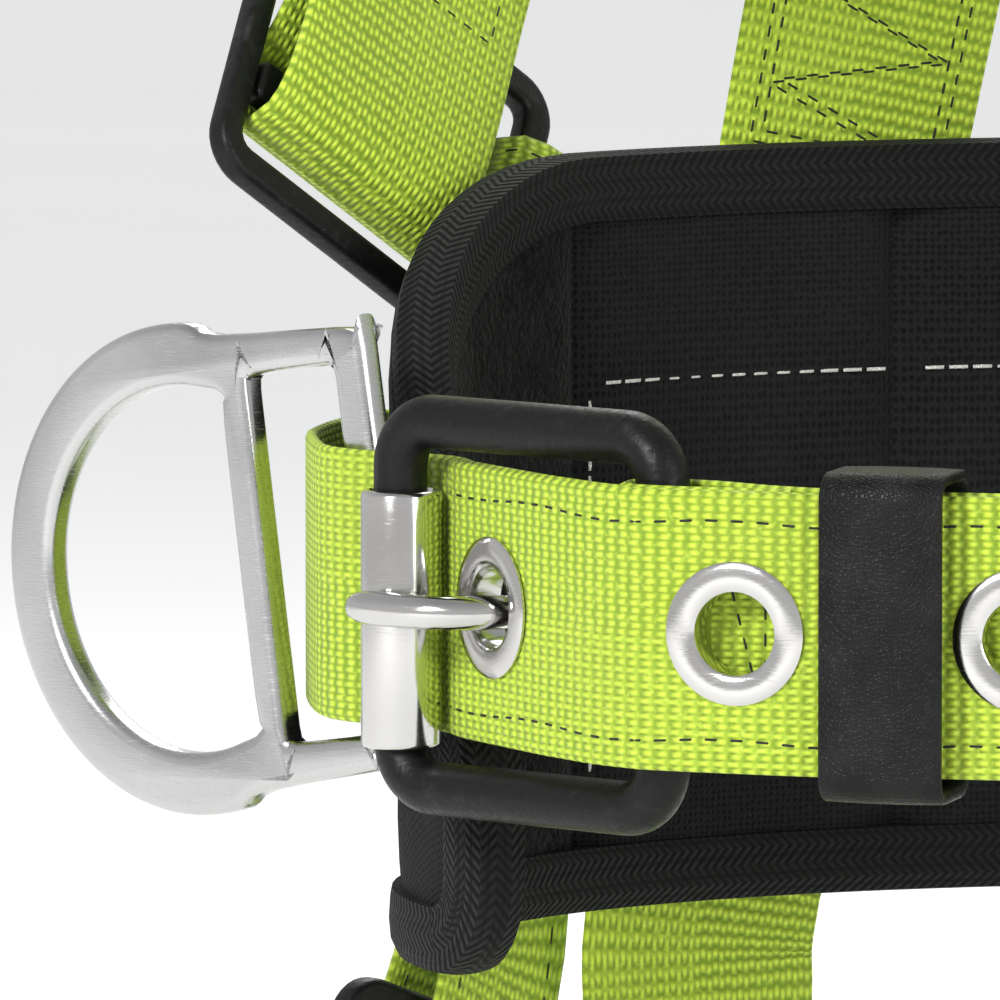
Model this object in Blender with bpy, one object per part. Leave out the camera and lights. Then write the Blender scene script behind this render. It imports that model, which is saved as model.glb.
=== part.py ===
"""Tree climbing harness: a padded positioning belt with hip D-rings, a roller buckle,
shoulder straps that cross at a dorsal plate, and two leg loops.

Lengths below are millimetres. +Z is up, the front faces -Y and the origin is the centre of
the wearer's waist at the belt's mid-height. "Right" and "left" are the wearer's own sides,
so right is -X.
"""
import math

import bmesh
import bpy
from mathutils import Matrix, Vector
from mathutils.geometry import tessellate_polygon

MM = 0.001
GAP = 0.3                      # clearance between pieces that touch

# Webbing
WEB_WIDTH = 45.0
WEB_THICK = 2.0
LAYER = WEB_THICK + GAP        # spacing of two webbing layers

# Waist belt: an oval in plan, measured to the middle of the webbing
BELT_A, BELT_B = 157.3, 108.8
BUCKLE_X = -123.0              # the buckle sits in front of the right hip
GROMMET_AT = (-6.0, 46.0, 90.5, 134.5, 178.5)     # along the belt from the buckle
BELT_TIP_AT = 216.0
GROMMET_HOLE_R, GROMMET_R = 6.5, 11.5
GROMMET_BARREL_R = 7.4
STRAP_HOLE_R = 7.75
FLAT_HALF = 12.0               # the strap lies flat this far each side of a grommet

# Roller buckle
BAR_R = 4.4
BUCKLE_HALF_SPAN = 28.2       # middle of the buckle to each upright bar
BUCKLE_HALF_HEIGHT = 29.9
BUCKLE_CORNER = 7.6
BUCKLE_DROP = 0.8              # the buckle hangs this far below the belt's middle
ROLLER_R, ROLLER_BORE_R, ROLLER_LENGTH = 6.7, 5.0, 42.0
ROLLER_DROP = 2.6              # the roller rests on the lower bend of its bar
TONGUE_R = 2.8

# Waist pad: three layers and an edge binding, inside the belt
PAD_A, PAD_B = 142.6, 98.0    # outer face of the pad
PAD_TOP, PAD_BOTTOM = 63.5, -63.0
PAD_END_X = -129.0             # front lower corner of the pad
COVER_T, FOAM_T, LINING_T = 1.2, 4.7, 1.2
BINDING_T, BINDING_LEG = 1.0, 10.0
BINDING_GAP = 0.7
PAD_INSET = 1.0                # the layers stop this far inside the edge tape

# Hip D-ring, measured from the middle of its rear bar along the ring
HIP_HINGE = Vector((-146.0, -24.0, 6.0))
DRING_REACH = 84.0
DRING_THICK = 5.6
DRING_HALF_HEIGHT = 41.0
DRING_SLOT_END = 24.0
DRING_LEAN = 9.0               # degrees that the ring leans outwards in its own plane

# Dorsal plate
PLATE_Z, PLATE_Y, PLATE_T = 345.0, 119.0, 3.4
STRAP_LIFT = 4.6               # how far the right shoulder strap stands off the left one
DORSAL_HANG = 34.0             # degrees that the ring stands out from hanging straight down

CHEST_Z, CHEST_Y = 292.0, -122.0
BAND_WIDTH = 2.6               # elastic bands
SIDE_WIDTH = 30.0              # side straps
THIGH = Vector((-92.0, 0.0, 0.0))

YELLOW = (0.58, 0.80, 0.05)
BLACK = (0.012, 0.012, 0.014)
STEEL = (0.72, 0.72, 0.70)
FINISHES = {                   # colour, roughness, metallic
    "webbing": (YELLOW, 0.75, 0.0),
    "black_textile": (BLACK, 0.95, 0.0),
    "pad_foam": ((0.05, 0.05, 0.05), 0.9, 0.0),
    "powder_coat": ((0.02, 0.02, 0.022), 0.4, 0.3),
    "polished_steel": (STEEL, 0.18, 1.0),
    "satin_alloy": (STEEL, 0.3, 1.0),
    "leather": ((0.015, 0.015, 0.016), 0.45, 0.0),
    "black_plastic": ((0.02, 0.02, 0.02), 0.4, 0.0),
}


def clear_scene():
    for item in list(bpy.data.objects):
        bpy.data.objects.remove(item, do_unlink=True)


def finish(name):
    """The material called name, made once."""
    material = bpy.data.materials.get(name)
    if material is None:
        colour, roughness, metallic = FINISHES[name]
        material = bpy.data.materials.new(name)
        material.use_nodes = True
        shader = material.node_tree.nodes["Principled BSDF"]
        shader.inputs["Base Color"].default_value = (*colour, 1.0)
        shader.inputs["Roughness"].default_value = roughness
        shader.inputs["Metallic"].default_value = metallic
    return material


def add_body(name, points, faces, material, origin=(0.0, 0.0, 0.0)):
    """A mesh object from points in millimetres, with its own origin on a joint axis if given."""
    origin = Vector(origin)
    mesh = bpy.data.meshes.new(name)
    mesh.from_pydata([(Vector(p) - origin) * MM for p in points], [], faces)
    work = bmesh.new()
    work.from_mesh(mesh)
    bmesh.ops.recalc_face_normals(work, faces=work.faces)
    bmesh.ops.triangulate(work, faces=[f for f in work.faces if len(f.verts) > 4])
    work.to_mesh(mesh)
    work.free()
    mesh.shade_smooth()
    mesh.set_sharp_from_angle(angle=math.radians(35))
    mesh.materials.append(finish(material))
    body = bpy.data.objects.new(name, mesh)
    body.location = origin * MM
    bpy.context.collection.objects.link(body)
    return body


# ---------------------------------------------------------------- shapes

def skin(rings, closed=False):
    """Points and faces of a tube through equal rings of points, capped unless closed."""
    count = len(rings[0])
    points = [p for ring in rings for p in ring]
    faces = []
    for i in range(len(rings) if closed else len(rings) - 1):
        a, b = i * count, ((i + 1) % len(rings)) * count
        for j in range(count):
            k = (j + 1) % count
            faces.append((a + j, a + k, b + k, b + j))
    if not closed:
        faces.append(tuple(range(count)))
        faces.append(tuple(range(len(points) - count, len(points))))
    return points, faces


def travel(points, i, closed):
    """Direction of a path at point i."""
    if closed:
        return (points[(i + 1) % len(points)] - points[i - 1]).normalized()
    return (points[min(i + 1, len(points) - 1)] - points[max(i - 1, 0)]).normalized()


def swept(path, section, closed=False):
    """Sweep a section along a path of (point, outward normal) pairs.

    Section points are (across, outwards)."""
    points = [Vector(p) for p, _ in path]
    rings = []
    for i, (point, normal) in enumerate(path):
        along = travel(points, i, closed)
        across = along.cross(Vector(normal)).normalized()
        out = across.cross(along).normalized()
        rings.append([points[i] + across * u + out * v for u, v in section])
    return skin(rings, closed)


def strap_section(width=WEB_WIDTH, thick=WEB_THICK):
    half, deep = width / 2, thick / 2
    return [(-half, -deep), (half, -deep), (half, deep), (-half, deep)]


def round_section(radius, sides=8):
    return [(radius * math.cos(2 * math.pi * i / sides), radius * math.sin(2 * math.pi * i / sides))
            for i in range(sides)]


def smooth_path(knots, step):
    """A Catmull-Rom curve through (point, normal) knots, read off about every step millimetres."""
    rows = [(Vector(p), Vector(n).normalized()) for p, n in knots]
    rows = [rows[0]] + rows + [rows[-1]]
    path = []
    for i in range(1, len(rows) - 2):
        pieces = max(1, round((rows[i + 1][0] - rows[i][0]).length / step))
        for j in range(pieces):
            t = j / pieces
            blend = [-0.5 * t + t * t - 0.5 * t ** 3, 1 - 2.5 * t * t + 1.5 * t ** 3,
                     0.5 * t + 2 * t * t - 1.5 * t ** 3, -0.5 * t * t + 0.5 * t ** 3]
            point = sum((rows[i - 1 + k][0] * blend[k] for k in range(4)), Vector())
            path.append((point, rows[i][1].lerp(rows[i + 1][1], t).normalized()))
    path.append(rows[-1])
    return path


def turned(profile, sides, place):
    """Turn a closed (radius, height) profile about the Z axis of place."""
    rings = []
    for i in range(sides):
        angle = 2 * math.pi * i / sides
        rings.append([place @ Vector((r * math.cos(angle), r * math.sin(angle), h))
                      for r, h in profile])
    return skin(rings, closed=True)


def plate(outline, holes, thick, place):
    """A flat plate with holes: outlines are (x, y), the thickness runs along place's Z."""
    loops = [outline] + holes
    flat = [Vector((x, y, 0.0)) for loop in loops for x, y in loop]
    triangles = tessellate_polygon([[Vector((x, y, 0.0)) for x, y in loop] for loop in loops])
    count = len(flat)
    points = [place @ (p + Vector((0, 0, thick / 2))) for p in flat]
    points += [place @ (p - Vector((0, 0, thick / 2))) for p in flat]
    faces = [tuple(t) for t in triangles] + [tuple(i + count for i in reversed(t)) for t in triangles]
    start = 0
    for loop in loops:
        for i in range(len(loop)):
            a, b = start + i, start + (i + 1) % len(loop)
            faces.append((a, b, b + count, a + count))
        start += len(loop)
    return points, faces


def rounded_rectangle(width, height, radius, centre=(0.0, 0.0), steps=4):
    """Corner arcs of a rounded rectangle, counter-clockwise."""
    points = []
    for quarter, (sx, sy) in enumerate(((1, 1), (-1, 1), (-1, -1), (1, -1))):
        for i in range(steps + 1):
            angle = math.radians(90 * quarter + 90 * i / steps)
            points.append((centre[0] + sx * (width / 2 - radius) + radius * math.cos(angle),
                           centre[1] + sy * (height / 2 - radius) + radius * math.sin(angle)))
    return points


def frame_at(centre, x_axis, y_axis):
    """A placing matrix from a centre and two directions; Z completes a right-handed set."""
    x = Vector(x_axis).normalized()
    z = x.cross(Vector(y_axis)).normalized()
    y = z.cross(x)
    matrix = Matrix((x, y, z)).transposed().to_4x4()
    matrix.translation = Vector(centre)
    return matrix


def mirror(point):
    return Vector((-point[0], point[1], point[2]))


# ---------------------------------------------------------------- ovals in plan

class Oval:
    """An ellipse walked by arc length: 0 at the front, growing towards +X."""

    STEPS = 1440

    def __init__(self, a, b):
        self.a, self.b = a, b
        self.lengths = [0.0]
        for i in range(self.STEPS):
            self.lengths.append(self.lengths[-1] + (self.spot(i + 1) - self.spot(i)).length)
        self.length = self.lengths[-1]

    def spot(self, i):
        angle = 2 * math.pi * i / self.STEPS
        return Vector((self.a * math.sin(angle), -self.b * math.cos(angle), 0.0))

    def at(self, s, out=0.0, z=0.0):
        """Point and outward normal at arc length s, moved outwards by out and up to z."""
        s %= self.length
        low = next(i for i in range(self.STEPS) if self.lengths[i + 1] >= s)
        part = (s - self.lengths[low]) / (self.lengths[low + 1] - self.lengths[low])
        point = self.spot(low).lerp(self.spot(low + 1), part)
        normal = Vector((point.x / self.a ** 2, point.y / self.b ** 2, 0.0)).normalized()
        return point + normal * out + Vector((0, 0, z)), normal

    def where_x(self, x):
        """Arc length, from -length/4 to length/4, of the front point with this x."""
        angle = math.asin(x / self.a)
        s = self.lengths[round(abs(angle) / (2 * math.pi) * self.STEPS)]
        return math.copysign(s, x)


BELT = Oval(BELT_A, BELT_B)
PAD = Oval(PAD_A, PAD_B)
BUCKLE_S = BELT.where_x(BUCKLE_X)


def belt_at(s, out=0.0, z=0.0):
    """A place on the belt, measured from the middle of the buckle."""
    return BELT.at(BUCKLE_S + s, out, z)


# ---------------------------------------------------------------- waist belt and buckle

ROLLER_AXIS = belt_at(-BUCKLE_HALF_SPAN, 0.0, -BUCKLE_DROP)[0]
ANCHOR_AXIS = belt_at(BUCKLE_HALF_SPAN, 0.0, -BUCKLE_DROP)[0]
BUCKLE_FRAME = frame_at((ROLLER_AXIS + ANCHOR_AXIS) / 2, ANCHOR_AXIS - ROLLER_AXIS, (0, 0, 1))
# BUCKLE_FRAME: x along the belt, y up, z outwards (towards the front)

# Middle of the doubled free end as (along, outwards) from behind the roller to the tip
FREE_END = [(-62, 1.2), (-54, 1.2), (-48, -0.6), (-43, -3.3), (-37, -6.7), (-32, -8.8), (-28.2, -9.3),
            (-22.5, -8.2),
            (-18, -6.2), (6, 1.6), (13, 4.4), (21, 7.9), (28.2, 9.9), (34, 10.4), (58, 8.7),
            (66, 6.6), (78.5, 5.5), (102.5, 5.5)]
LAYER_FROM = -34.0             # the second layer starts just behind the roller
for grommet_s in GROMMET_AT[3:]:
    FREE_END += [(grommet_s - FLAT_HALF, 5.4), (grommet_s + FLAT_HALF, 5.4)]
FREE_END += [(200.0, 5.4), (BELT_TIP_AT, 5.4)]


def belt_path():
    """The belt webbing: from its sewn tail, round the anchor bar, round the waist, to the tip."""
    tail = [(52, 2.8), (44, 3.6), (37, 5.2)]
    path = [belt_at(s, out) for s, out in tail]
    radius = BAR_R + 2 * GAP + WEB_THICK / 2
    for degrees in range(75, 286, 30):
        angle = math.radians(degrees)
        out = Vector((math.cos(angle), 0.0, math.sin(angle)))
        rotated = BUCKLE_FRAME.to_3x3() @ out
        spot = ANCHOR_AXIS + rotated * radius
        path.append((Vector((spot.x, spot.y, 0.0)), rotated))
    path += [(p, -n) for p, n in (belt_at(37, -5.0), belt_at(46, -2.2), belt_at(56, -0.4))]
    s = 66.0
    while s < BELT.length - 75.0:
        p, n = belt_at(s)
        path.append((p, -n))
        s += 12.0
    for s, out in [(s, out - LAYER / 2) for s, out in FREE_END]:
        p, n = belt_at(s, out)
        path.append((p, -n))
    return path


def grommet_place(s):
    """Frame of a grommet: z along its hole, outwards."""
    low, _ = free_end_at(s - FLAT_HALF)
    high, _ = free_end_at(s + FLAT_HALF)
    return frame_at((low + high) / 2, high - low, (0, 0, 1))


def free_end_at(s):
    for (s0, o0), (s1, o1) in zip(FREE_END, FREE_END[1:]):
        if s0 <= s <= s1:
            return belt_at(s, o0 + (o1 - o0) * (s - s0) / (s1 - s0))
    return belt_at(s, FREE_END[-1][1])


def cutter(name, points, faces):
    body = add_body(name, points, faces, "black_plastic")
    body.hide_render = True
    body.display_type = "WIRE"
    return body


def cut(body, tool):
    step = body.modifiers.new("cut_" + tool.name, "BOOLEAN")
    step.operation = "DIFFERENCE"
    step.object = tool


def build_belt():
    belt = add_body("waist_belt_webbing", *swept(belt_path(), strap_section()), "webbing")
    layer = [belt_at(s, out + LAYER / 2) for s, out in FREE_END if s >= LAYER_FROM]
    reinforcement = add_body("belt_free_end_layer", *swept(layer, strap_section()), "webbing")
    for number, s in enumerate(GROMMET_AT, 1):
        place = grommet_place(s)
        tool = cutter(f"cutter_grommet_{number}", *round_bar(place, STRAP_HOLE_R, -4.0, 4.0))
        cut(belt, tool)
        cut(reinforcement, tool)
        build_grommet(number, place)
    upright = frame_at(ANCHOR_AXIS, (1, 0, 0), (0, 1, 0))
    cut(belt, cutter("cutter_tongue_slot", *round_bar(upright, 7.35, -4.6, 4.6)))


def round_bar(place, radius, low, high, sides=18):
    rings = [[place @ Vector((u, v, z)) for u, v in round_section(radius, sides)] for z in (low, high)]
    return skin(rings)


def build_grommet(number, place):
    """A rolled eyelet: a barrel through both layers with a flange on each face."""
    face = LAYER / 2 + WEB_THICK / 2 + GAP
    rim = 0.8
    profile = [(GROMMET_HOLE_R, -face - rim), (GROMMET_R, -face - rim * 0.5), (GROMMET_R, -face),
               (GROMMET_BARREL_R, -face), (GROMMET_BARREL_R, face), (GROMMET_R, face),
               (GROMMET_R, face + rim * 0.5), (GROMMET_HOLE_R, face + rim)]
    add_body(f"belt_grommet_{number}", *turned(profile, 20, place), "polished_steel")


def build_buckle():
    # Frame: a round bar bent to a rounded rectangle
    outline = rounded_rectangle(2 * BUCKLE_HALF_SPAN, 2 * BUCKLE_HALF_HEIGHT, BUCKLE_CORNER, steps=5)
    path = [(BUCKLE_FRAME @ Vector((x, y, 0)), BUCKLE_FRAME.to_3x3() @ Vector((0, 0, 1)))
            for x, y in outline]
    add_body("buckle_frame", *swept(path, round_section(BAR_R, 10), closed=True), "powder_coat")

    # Roller: a tube that turns on the bar nearest the hip
    half = ROLLER_LENGTH / 2
    upright = frame_at(ROLLER_AXIS, (1, 0, 0), (0, 1, 0))
    upright.translation.z -= ROLLER_DROP
    profile = [(ROLLER_BORE_R, -half), (ROLLER_R, -half), (ROLLER_R, half), (ROLLER_BORE_R, half)]
    add_body("buckle_roller", *turned(profile, 20, upright), "polished_steel", origin=ROLLER_AXIS)

    # Tongue: a rod that hooks up through the grommet and rests on the roller
    def local(s, out, up=0.0):
        return BUCKLE_FRAME @ Vector((s, up, out))

    side = BUCKLE_FRAME.to_3x3() @ Vector((0, 1, 0))
    knots = [(22.9, -3.2), (15, -6.4), (6, -8.2), (0.5, -7.0), (-3.4, -3.0), (-6.2, 2.4), (-10, 7.0),
             (-16, 9.9), (-26, 9.9), (-30.5, 9.8)]
    rod = smooth_path([(local(s, out), side) for s, out in knots], 6.0)
    rings_points, rings_faces = swept(rod, round_section(TONGUE_R, 8))
    tongue = add_body("buckle_tongue", rings_points, rings_faces, "polished_steel",
                      origin=ANCHOR_AXIS)
    upright = frame_at(ANCHOR_AXIS, (1, 0, 0), (0, 1, 0))
    eye = [(BAR_R + GAP, -3.9), (7.0, -3.9), (7.0, 3.9), (BAR_R + GAP, 3.9)]
    collar = cutter("cutter_tongue_collar", *turned(eye, 20, upright))
    join = tongue.modifiers.new("join_collar", "BOOLEAN")
    join.operation = "UNION"
    join.object = collar


def build_keeper():
    """A leather loop round the doubled free end and the belt under it."""
    centre, normal = belt_at(69.5)
    place = frame_at(centre, (0, 0, 1), normal)
    inner_low, inner_high, half_height, thick = -2.9, 12.6, 24.4, 1.8
    middle = ((inner_low + inner_high) / 2)
    outer = rounded_rectangle(2 * (half_height + thick), inner_high - inner_low + 2 * thick, 4.0,
                              (0.0, middle), 3)
    inner = rounded_rectangle(2 * half_height, inner_high - inner_low, 2.4, (0.0, middle), 3)
    add_body("belt_leather_keeper", *plate(outer, [inner], 20.0, place), "leather", origin=centre)


# ---------------------------------------------------------------- waist pad

PAD_HALF = PAD.length / 2 + PAD.where_x(PAD_END_X)     # back centre to the front lower corner
END_SWEEP, END_POWER = 108.0, 1.7
LOWER_CORNER = 15.0
END_LOW, END_HIGH = PAD_BOTTOM + LOWER_CORNER, -38.0


def pad_top(d):
    """Top edge of the pad at distance d from its end."""
    if d >= END_SWEEP:
        return PAD_TOP
    rise = (1 - (1 - d / END_SWEEP) ** END_POWER) ** (1 / END_POWER)
    return END_HIGH + (PAD_TOP - END_HIGH) * rise


def pad_bottom(d):
    if d >= LOWER_CORNER:
        return PAD_BOTTOM
    return END_LOW - math.sqrt(LOWER_CORNER ** 2 - (LOWER_CORNER - d) ** 2)


def pad_stations():
    """Distances from the back centre: close together at the ends, wide apart behind."""
    near = [0.0, 0.8, 2.5, 5.0, 8.5, 13.0, 19.0, 27.0, 37.0, 49.0, 62.0, 76.0, 92.0, END_SWEEP]
    ends = [PAD_HALF - d for d in near]
    spread = 8
    middle = [ends[-1] * (1 - 2 * i / spread) for i in range(1, spread)]
    return [-s for s in ends] + [-s for s in middle] + ends[::-1]


def pad_layer(name, deep, shallow, material):
    rings = []
    for s in pad_stations():
        d = PAD_HALF - abs(s)
        low, high = pad_bottom(d) + PAD_INSET, pad_top(d) - PAD_INSET
        shrink = s * (1 - PAD_INSET / PAD_HALF)
        corners = [(deep, low), (shallow, low), (shallow, high), (deep, high)]
        rings.append([PAD.at(PAD.length / 2 + shrink, -depth, z)[0] for depth, z in corners])
    return add_body(name, *skin(rings), material)


def build_pad():
    foam = COVER_T + GAP
    lining = foam + FOAM_T + GAP
    pad_layer("pad_outer_cover", COVER_T, 0.0, "black_textile")
    pad_layer("pad_foam_core", foam + FOAM_T, foam, "pad_foam")
    pad_layer("pad_inner_lining", lining + LINING_T, lining, "black_textile")
    build_binding(lining + LINING_T)


def build_binding(pad_thick):
    """A tape folded over the pad's whole edge, in a closed loop."""
    outline = []
    stations = pad_stations()
    for s in stations:
        outline.append((s, pad_top(PAD_HALF - abs(s))))
    for s in reversed(stations):
        outline.append((s, pad_bottom(PAD_HALF - abs(s))))
    count = len(outline)
    rings = []
    for i, (s, z) in enumerate(outline):
        before, after = outline[i - 1], outline[(i + 1) % count]
        run = Vector((after[0] - before[0], after[1] - before[1], 0.0)).normalized()
        outwards = Vector((-run.y, run.x, 0.0))
        ring = []
        low, high = -BINDING_GAP, pad_thick + BINDING_GAP
        for reach, depth in ((-BINDING_LEG, low - BINDING_T), (GAP + BINDING_T, low - BINDING_T),
                             (GAP + BINDING_T, high + BINDING_T), (-BINDING_LEG, high + BINDING_T),
                             (-BINDING_LEG, high), (GAP, high), (GAP, low), (-BINDING_LEG, low)):
            spot = PAD.at(PAD.length / 2 + s + outwards.x * reach, -depth, z + outwards.y * reach)
            ring.append(spot[0])
        rings.append(ring)
    add_body("pad_edge_binding", *skin(rings, closed=True), "black_textile")


# ---------------------------------------------------------------- D-rings

def dring_outline():
    """Outline and holes of a D-ring: x from the rear bar to the eye, y up."""
    eye = (DRING_REACH - DRING_HALF_HEIGHT, 0.0)
    outer = []
    for degrees in range(-100, 101, 10):
        angle = math.radians(degrees)
        outer.append((eye[0] + DRING_HALF_HEIGHT * math.cos(angle), DRING_HALF_HEIGHT * math.sin(angle)))
    outer += [(DRING_SLOT_END + 6, 38.0), (4.0, 36.6), (-1.5, 35.4), (-3.6, 32.5)]
    outer += [(x, -y) for x, y in reversed(outer[-4:])]
    hole = []
    for degrees in range(-115, 116, 10):
        angle = math.radians(degrees)
        hole.append((eye[0] + 31.0 * math.cos(angle), 30.5 * math.sin(angle)))
    hole += [(DRING_SLOT_END + 6.4, 22.0), (DRING_SLOT_END + 6.4, -22.0)]
    slot = rounded_rectangle(DRING_SLOT_END - 3.6, 61.0, 2.5, ((DRING_SLOT_END + 3.6) / 2, 0.0), 2)
    return outer, [hole, slot]


def build_hip_drings():
    """Rear bar beside the hip between the pad and the belt, eye outwards and back."""
    lean = math.radians(DRING_LEAN)
    level = Vector((-0.73, 0.683, 0.0)).normalized()
    x_axis = level * math.cos(lean) - Vector((0, 0, 1)) * math.sin(lean)
    y_axis = Vector((0, 0, 1)) * math.cos(lean) + level * math.sin(lean)
    place = frame_at(HIP_HINGE, x_axis, y_axis)
    outer, holes = dring_outline()
    add_pair("hip_dring", *plate(outer, holes, DRING_THICK, place), "satin_alloy", HIP_HINGE)


def build_elastic_bands():
    """An elastic band round the belt in front of each hip ring."""
    outer = rounded_rectangle(WEB_WIDTH + 2.8, WEB_THICK + 2.8, 1.2, steps=2)
    inner = rounded_rectangle(WEB_WIDTH + 1.0, WEB_THICK + 1.0, 0.4, steps=2)
    low, high = belt_at(-40.2, -5.7)[0], belt_at(-34.8, -8.7)[0]
    run = high - low
    right = frame_at((low + high) / 2, (0, 0, 1), (run.y, -run.x, 0.0))
    point, normal = BELT.at(-(BUCKLE_S - 40.0))
    left = frame_at(point, (0, 0, 1), normal)
    for side, place in (("right", right), ("left", left)):
        add_body(f"belt_elastic_band_{side}", *plate(outer, [inner], BAND_WIDTH, place), "black_textile")


# ---------------------------------------------------------------- shoulder straps

BACK_OVAL = Oval((BELT_A + PAD_A) / 2, (BELT_B + PAD_B) / 2 + 0.2)


def back_point(x, z, lift=0.0):
    """A place behind the pad, between it and the belt."""
    y = BACK_OVAL.b * math.sqrt(1 - (x / BACK_OVAL.a) ** 2)
    normal = Vector((x / BACK_OVAL.a ** 2, y / BACK_OVAL.b ** 2, 0.0)).normalized()
    return Vector((x, y, z)) + normal * lift, normal


# Where the leg strap is lapped over the shoulder strap's lower end: (x, z), bottom first
LAP = ((-92.5, -108.0), (-92.0, -84.0))


def shoulder_knots(lift):
    """Right leg side of the back, up through the dorsal plate, over the left shoulder."""
    rows = [back_point(*place) for place in LAP]
    rows += [back_point(-90.5, -63.0), back_point(-76.0, 0.0), back_point(-67.0, 63.0)]
    rows += [((-46, 108 + lift * 0.5, 160), (-0.1, 1, 0)), ((-22, 107.5 + lift, 250), (0, 1, 0)),
             ((-11, 108.5 + lift, 293), (0, 1, -0.4)), ((-5, 124 + lift, 321), (0, 1, -0.56)),
             ((0, 135.0 + lift, 345), (0, 1, 0)), ((5, 124 + lift, 369), (0, 1, 0.56)),
             ((11, 108.5 + lift, 397), (0, 1, 0.5)), ((30, 93 + lift, 430 + lift * 0.6), (0, 0.78, 0.62)),
             ((64, 56, 462), (0.1, 0.45, 0.9)), ((80, 5, 468), (0, 0, 1)),
             ((88, -50, 442), (0, -0.6, 0.8)), ((90, -94, 380), (0, -0.95, 0.3)),
             ((93, -110, 300), (0.1, -1, 0)), ((112, -92, 230), (0.5, -0.85, 0)),
             ((140, -45, 178), (0.85, -0.5, 0.2))]
    return rows


# Slides are placed by a frame: x across the webbing, y along it, z away from the wearer.
# Torso link: the shoulder webbing grips in its wide window, the side strap is sewn to its end bar
LINK_PLACE = frame_at((-146.0, 55.0, 69.0), (-0.68, -0.45, 0.57), (0.19, 0.64, 0.74))
LINK_WIDTH, LINK_HEIGHT = 68.0, 58.0
WINDOW = 46.6                  # clear length of a bar that carries webbing
LINK_GRIP = Vector((5.9, -9.0, 0.0))
LINK_END_BAR = -31.2
# Leg buckle: just below the pad behind each hip, its y axis down the leg strap
LEG_BUCKLE_PLACE = frame_at((-138.5, 63.5, -111.0), (0.649, 0.677, -0.339), (-0.235, -0.245, -0.94))
SLIDE_LENGTH, SLIDE_WIDTH, SLIDE_THICK = 58.0, 62.0, 4.6
SLIDE_RAIL, SLIDE_END_BAR = 5.0, 7.0
END_BAR = SLIDE_LENGTH / 2 - SLIDE_END_BAR / 2

# Webbing round a grip bar, as (along, outwards) from the bar: in behind the far bar, out through
# the first gap, over the grip bar, back through the second gap and out behind as a tail
GRIP_WRAP = [(48, -5.6), (38, -5.2), (27, -5.0), (17, -3.6), (12, 0.5), (8, 4.6), (0, 5.8), (-8, 4.6),
             (-12, 0.0), (-9, -5.2), (0, -8.4), (14, -9.6), (28, -9.4), (44, -9.0)]
LINK_WRAP = [(62, -5.4), (50, -4.8), (38, -4.8), (28, -4.6), (18, -3.2), (9, 0.4), (4.5, 4.6), (0, 5.8),
             (-5, 4.6), (-9, 0.0), (-7, -5.4), (0, -8.6), (16, -9.6), (36, -9.4), (52, -9.8)]


# The side strap behind the pad, as (x, z, lift)
SIDE_ROUTE = ((-113.5, 20.0, 1.4), (-117.0, 0.0, 0.7), (-121.0, -20.0, 0.3), (-124.5, -40.0, 0.3))


def add_pair(name, points, faces, material, origin=(0.0, 0.0, 0.0)):
    """A right-hand body and its mirror image."""
    add_body(f"{name}_right", points, faces, material, origin)
    add_body(f"{name}_left", [mirror(p) for p in points], faces, material, mirror(origin))


def grip_knots(place, wrap, centre=Vector((0, 0, 0))):
    """Knots of the webbing round a grip bar, with normals square to its run."""
    turn = place.to_3x3()
    rows = [centre + Vector((0, along, out)) for along, out in wrap]
    knots = []
    for i, row in enumerate(rows):
        run = (rows[min(i + 1, len(rows) - 1)] - rows[max(i - 1, 0)]).normalized()
        knots.append((place @ row, turn @ Vector((0, run.z, -run.y))))
    return knots


def loop_knots(place, bar, away):
    """Half a turn of sewn webbing round a bar at place's point bar, leaving towards away."""
    radius = SLIDE_END_BAR / 2 + WEB_THICK / 2 + 1.7
    turn = place.to_3x3()
    up = Vector((0, 0, 1))
    knots = [(place @ (bar + away * 22.0 + up * 4.2), turn @ up)]
    for degrees in (90, 45, 0, -45, -90):
        angle = math.radians(degrees)
        out = -away * math.cos(angle) + up * math.sin(angle)
        knots.append((place @ (bar + out * radius), turn @ out))
    knots.append((place @ (bar + away * 20.0 - up * 4.0), turn @ -up))
    return knots


def build_torso_links():
    """A frame with a wide window for the shoulder webbing and a narrow one for the side strap."""
    outer = rounded_rectangle(LINK_WIDTH, LINK_HEIGHT, 8.0, steps=4)
    wide = rounded_rectangle(WINDOW, WINDOW, 2.5, (5.9, 0.0), 2)
    narrow = rounded_rectangle(6.0, WINDOW, 2.0, (-25.0, 0.0), 2)
    add_pair("torso_link_frame", *plate(outer, [wide, narrow], SLIDE_THICK, LINK_PLACE), "powder_coat")
    centre = LINK_PLACE @ LINK_GRIP
    grip = LINK_PLACE.copy()
    grip.translation = centre
    bar = rounded_rectangle(WINDOW - 1.0, 8.0, 2.0, steps=2)
    add_pair("torso_link_grip_bar", *plate(bar, [], SLIDE_THICK, grip), "powder_coat", centre)


def build_leg_buckles():
    """A frame with one window, and a loose grip bar that the webbing passes round."""
    outer = rounded_rectangle(SLIDE_WIDTH, SLIDE_LENGTH, 8.0, steps=4)
    inner_width = SLIDE_WIDTH - 2 * SLIDE_RAIL
    inner = rounded_rectangle(inner_width, SLIDE_LENGTH - 2 * SLIDE_END_BAR, 2.5, steps=2)
    place = LEG_BUCKLE_PLACE
    add_pair("leg_buckle_frame", *plate(outer, [inner], SLIDE_THICK, place), "powder_coat")
    bar = rounded_rectangle(inner_width - 1.0, 8.0, 2.0, steps=2)
    add_pair("leg_buckle_grip_bar", *plate(bar, [], SLIDE_THICK, place), "powder_coat",
             place.translation)


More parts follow.
